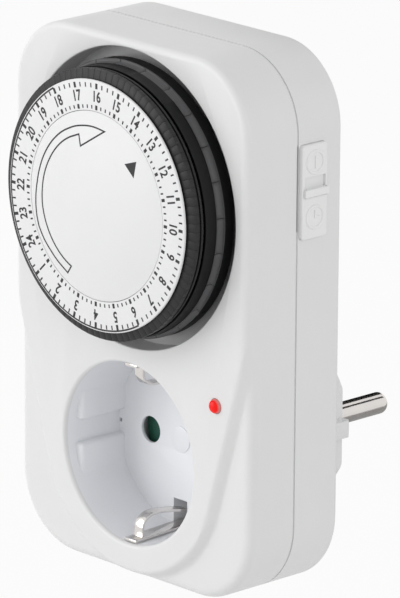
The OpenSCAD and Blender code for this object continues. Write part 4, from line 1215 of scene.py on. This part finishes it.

# The pad and the slide get a paler copy of the shell's white; the extra brightness is painted light.
bright = Finish("pad_plastic_painted_lighter")
milk = bright.grain(110, 3)
pad_plastic_painted_lighter = bright.surface(bright.node(
    "ShaderNodeBsdfPrincipled", None, IOR=1.46,
    Base_Color=bright.blend(milk, (0.84, 0.84, 0.84, 1), (0.87, 0.87, 0.87, 1)),
    Roughness=0.28 + 0.08 * bright.grain(420, 4), Normal=bright.bump(bright.grain(5200, 2), 0.00001, 0.2),
))
pad.data.materials.append(pad_plastic_painted_lighter)
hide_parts("switch_plate")
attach(pad, "housing")

# ---- Mode slide ----
# One white moulding: the ridge under the finger with a cap as wide as the pad, a plate
# that keeps the window closed at both ends of its travel, and the ramp inside.
cap_in, cap_out = half_width + 1.15 * mm, half_width + 1.9 * mm
cap_half, cap_low, cap_high = 3.4 * mm, 61.1 * mm, 62.8 * mm
closing_in, closing_out = half_width - 0.3 * mm, half_width + 0.5 * mm
closing_low, closing_high = 57.6 * mm, 66.2 * mm

slide = merged("mode_slider", "slide_ridge")
cut(slide, block(
    "cap", (cap_in, plate_middle - cap_half, cap_low), (cap_out, plate_middle + cap_half, cap_high)
), "UNION")
finish_modifier(
    slide, "BEVEL", width=0.22 * mm, segments=2, limit_method="ANGLE", angle_limit=math.radians(40)
)
cut(slide, block(
    "closing_plate", (closing_in, window_near, closing_low), (closing_out, window_far, closing_high)
), "UNION")
close(slide)
slide.data.materials.append(pad_plastic_painted_lighter)
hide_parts("mode_slider")
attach(slide, "slider")

# ---- Indicator ----
# A domed red lens set in the front shell, glowing a little, with a rim painted pale pink
# as its red light on the white edge of the hole. Two leads join it to a small board.
lens_r, lens_dome_r, collar_r = 1.6 * mm, 1.3 * mm, 2.2 * mm
lens_near, lens_far = front_y - 1.2 * mm, front_y + 4.4 * mm
collar_near, collar_far = front_y + 2.2 * mm, front_y + 3.2 * mm
lead_far = front_y + 7.4 * mm
lead_r, lead_half_pitch = 0.25 * mm, 0.6 * mm
pale_from, pale_to = 1.28 * mm, 1.58 * mm

lens = round_bar("red_lens", lens_x, lens_z, lens_r, lens_near, lens_far, 40)
pick(lens, "edges", at_depth(lens_near))
round_edges(lens_dome_r, 8)
collar = round_bar("collar", lens_x, lens_z, collar_r, collar_near, collar_far, 40)
cut(lens, collar, "UNION")
for z in (lens_z - lead_half_pitch, lens_z + lead_half_pitch):
    cut(lens, round_bar("lead", lens_x, z, lead_r, lens_far - 0.1 * mm, lead_far, 12), "UNION")
close(lens)

ruby = Finish("lens_plastic")
from_middle = radius_from(ruby, lens_x, lens_z)
# Painted light: the lens's outer rim is painted pale pink and glows less, standing in for the red light on
# the white edge of its hole.
painted_rim_light = ruby.node("ShaderNodeMapRange", {"clamp": True}, from_middle, pale_from, pale_to, 0.0, 1.0)
swirl = ruby.grain(700, 3)
lens_plastic = ruby.surface(ruby.node(
    "ShaderNodeBsdfPrincipled", None, IOR=1.3,
    Base_Color=ruby.blend(painted_rim_light, (0.80, 0.008, 0.006, 1), (0.72, 0.26, 0.24, 1)),
    Emission_Color=ruby.blend(painted_rim_light, (0.75, 0.008, 0.004, 1), (0.10, 0.03, 0.03, 1)), Emission_Strength=0.25,
    Roughness=0.20 + 0.08 * swirl, Normal=ruby.bump(swirl, 0.00002, 0.2),
))
lens.data.materials.append(lens_plastic)
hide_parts("indicator_lens")
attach(lens, "housing")

board_greens = (0.02, 0.09, 0.035, 1), (0.03, 0.12, 0.05, 1)
resistor_tans = (0.45, 0.33, 0.20, 1), (0.55, 0.42, 0.27, 1)
board_lacquer = plain_finish("board_lacquer", 1.5, (1200, 3), board_greens, (0.3, 0.15))
resistor_lacquer = plain_finish("resistor_lacquer", 1.5, (900, 4), resistor_tans, (0.35, 0.1))
dress(board_lacquer, "indicator_board")
dress(resistor_lacquer, "indicator_resistor")
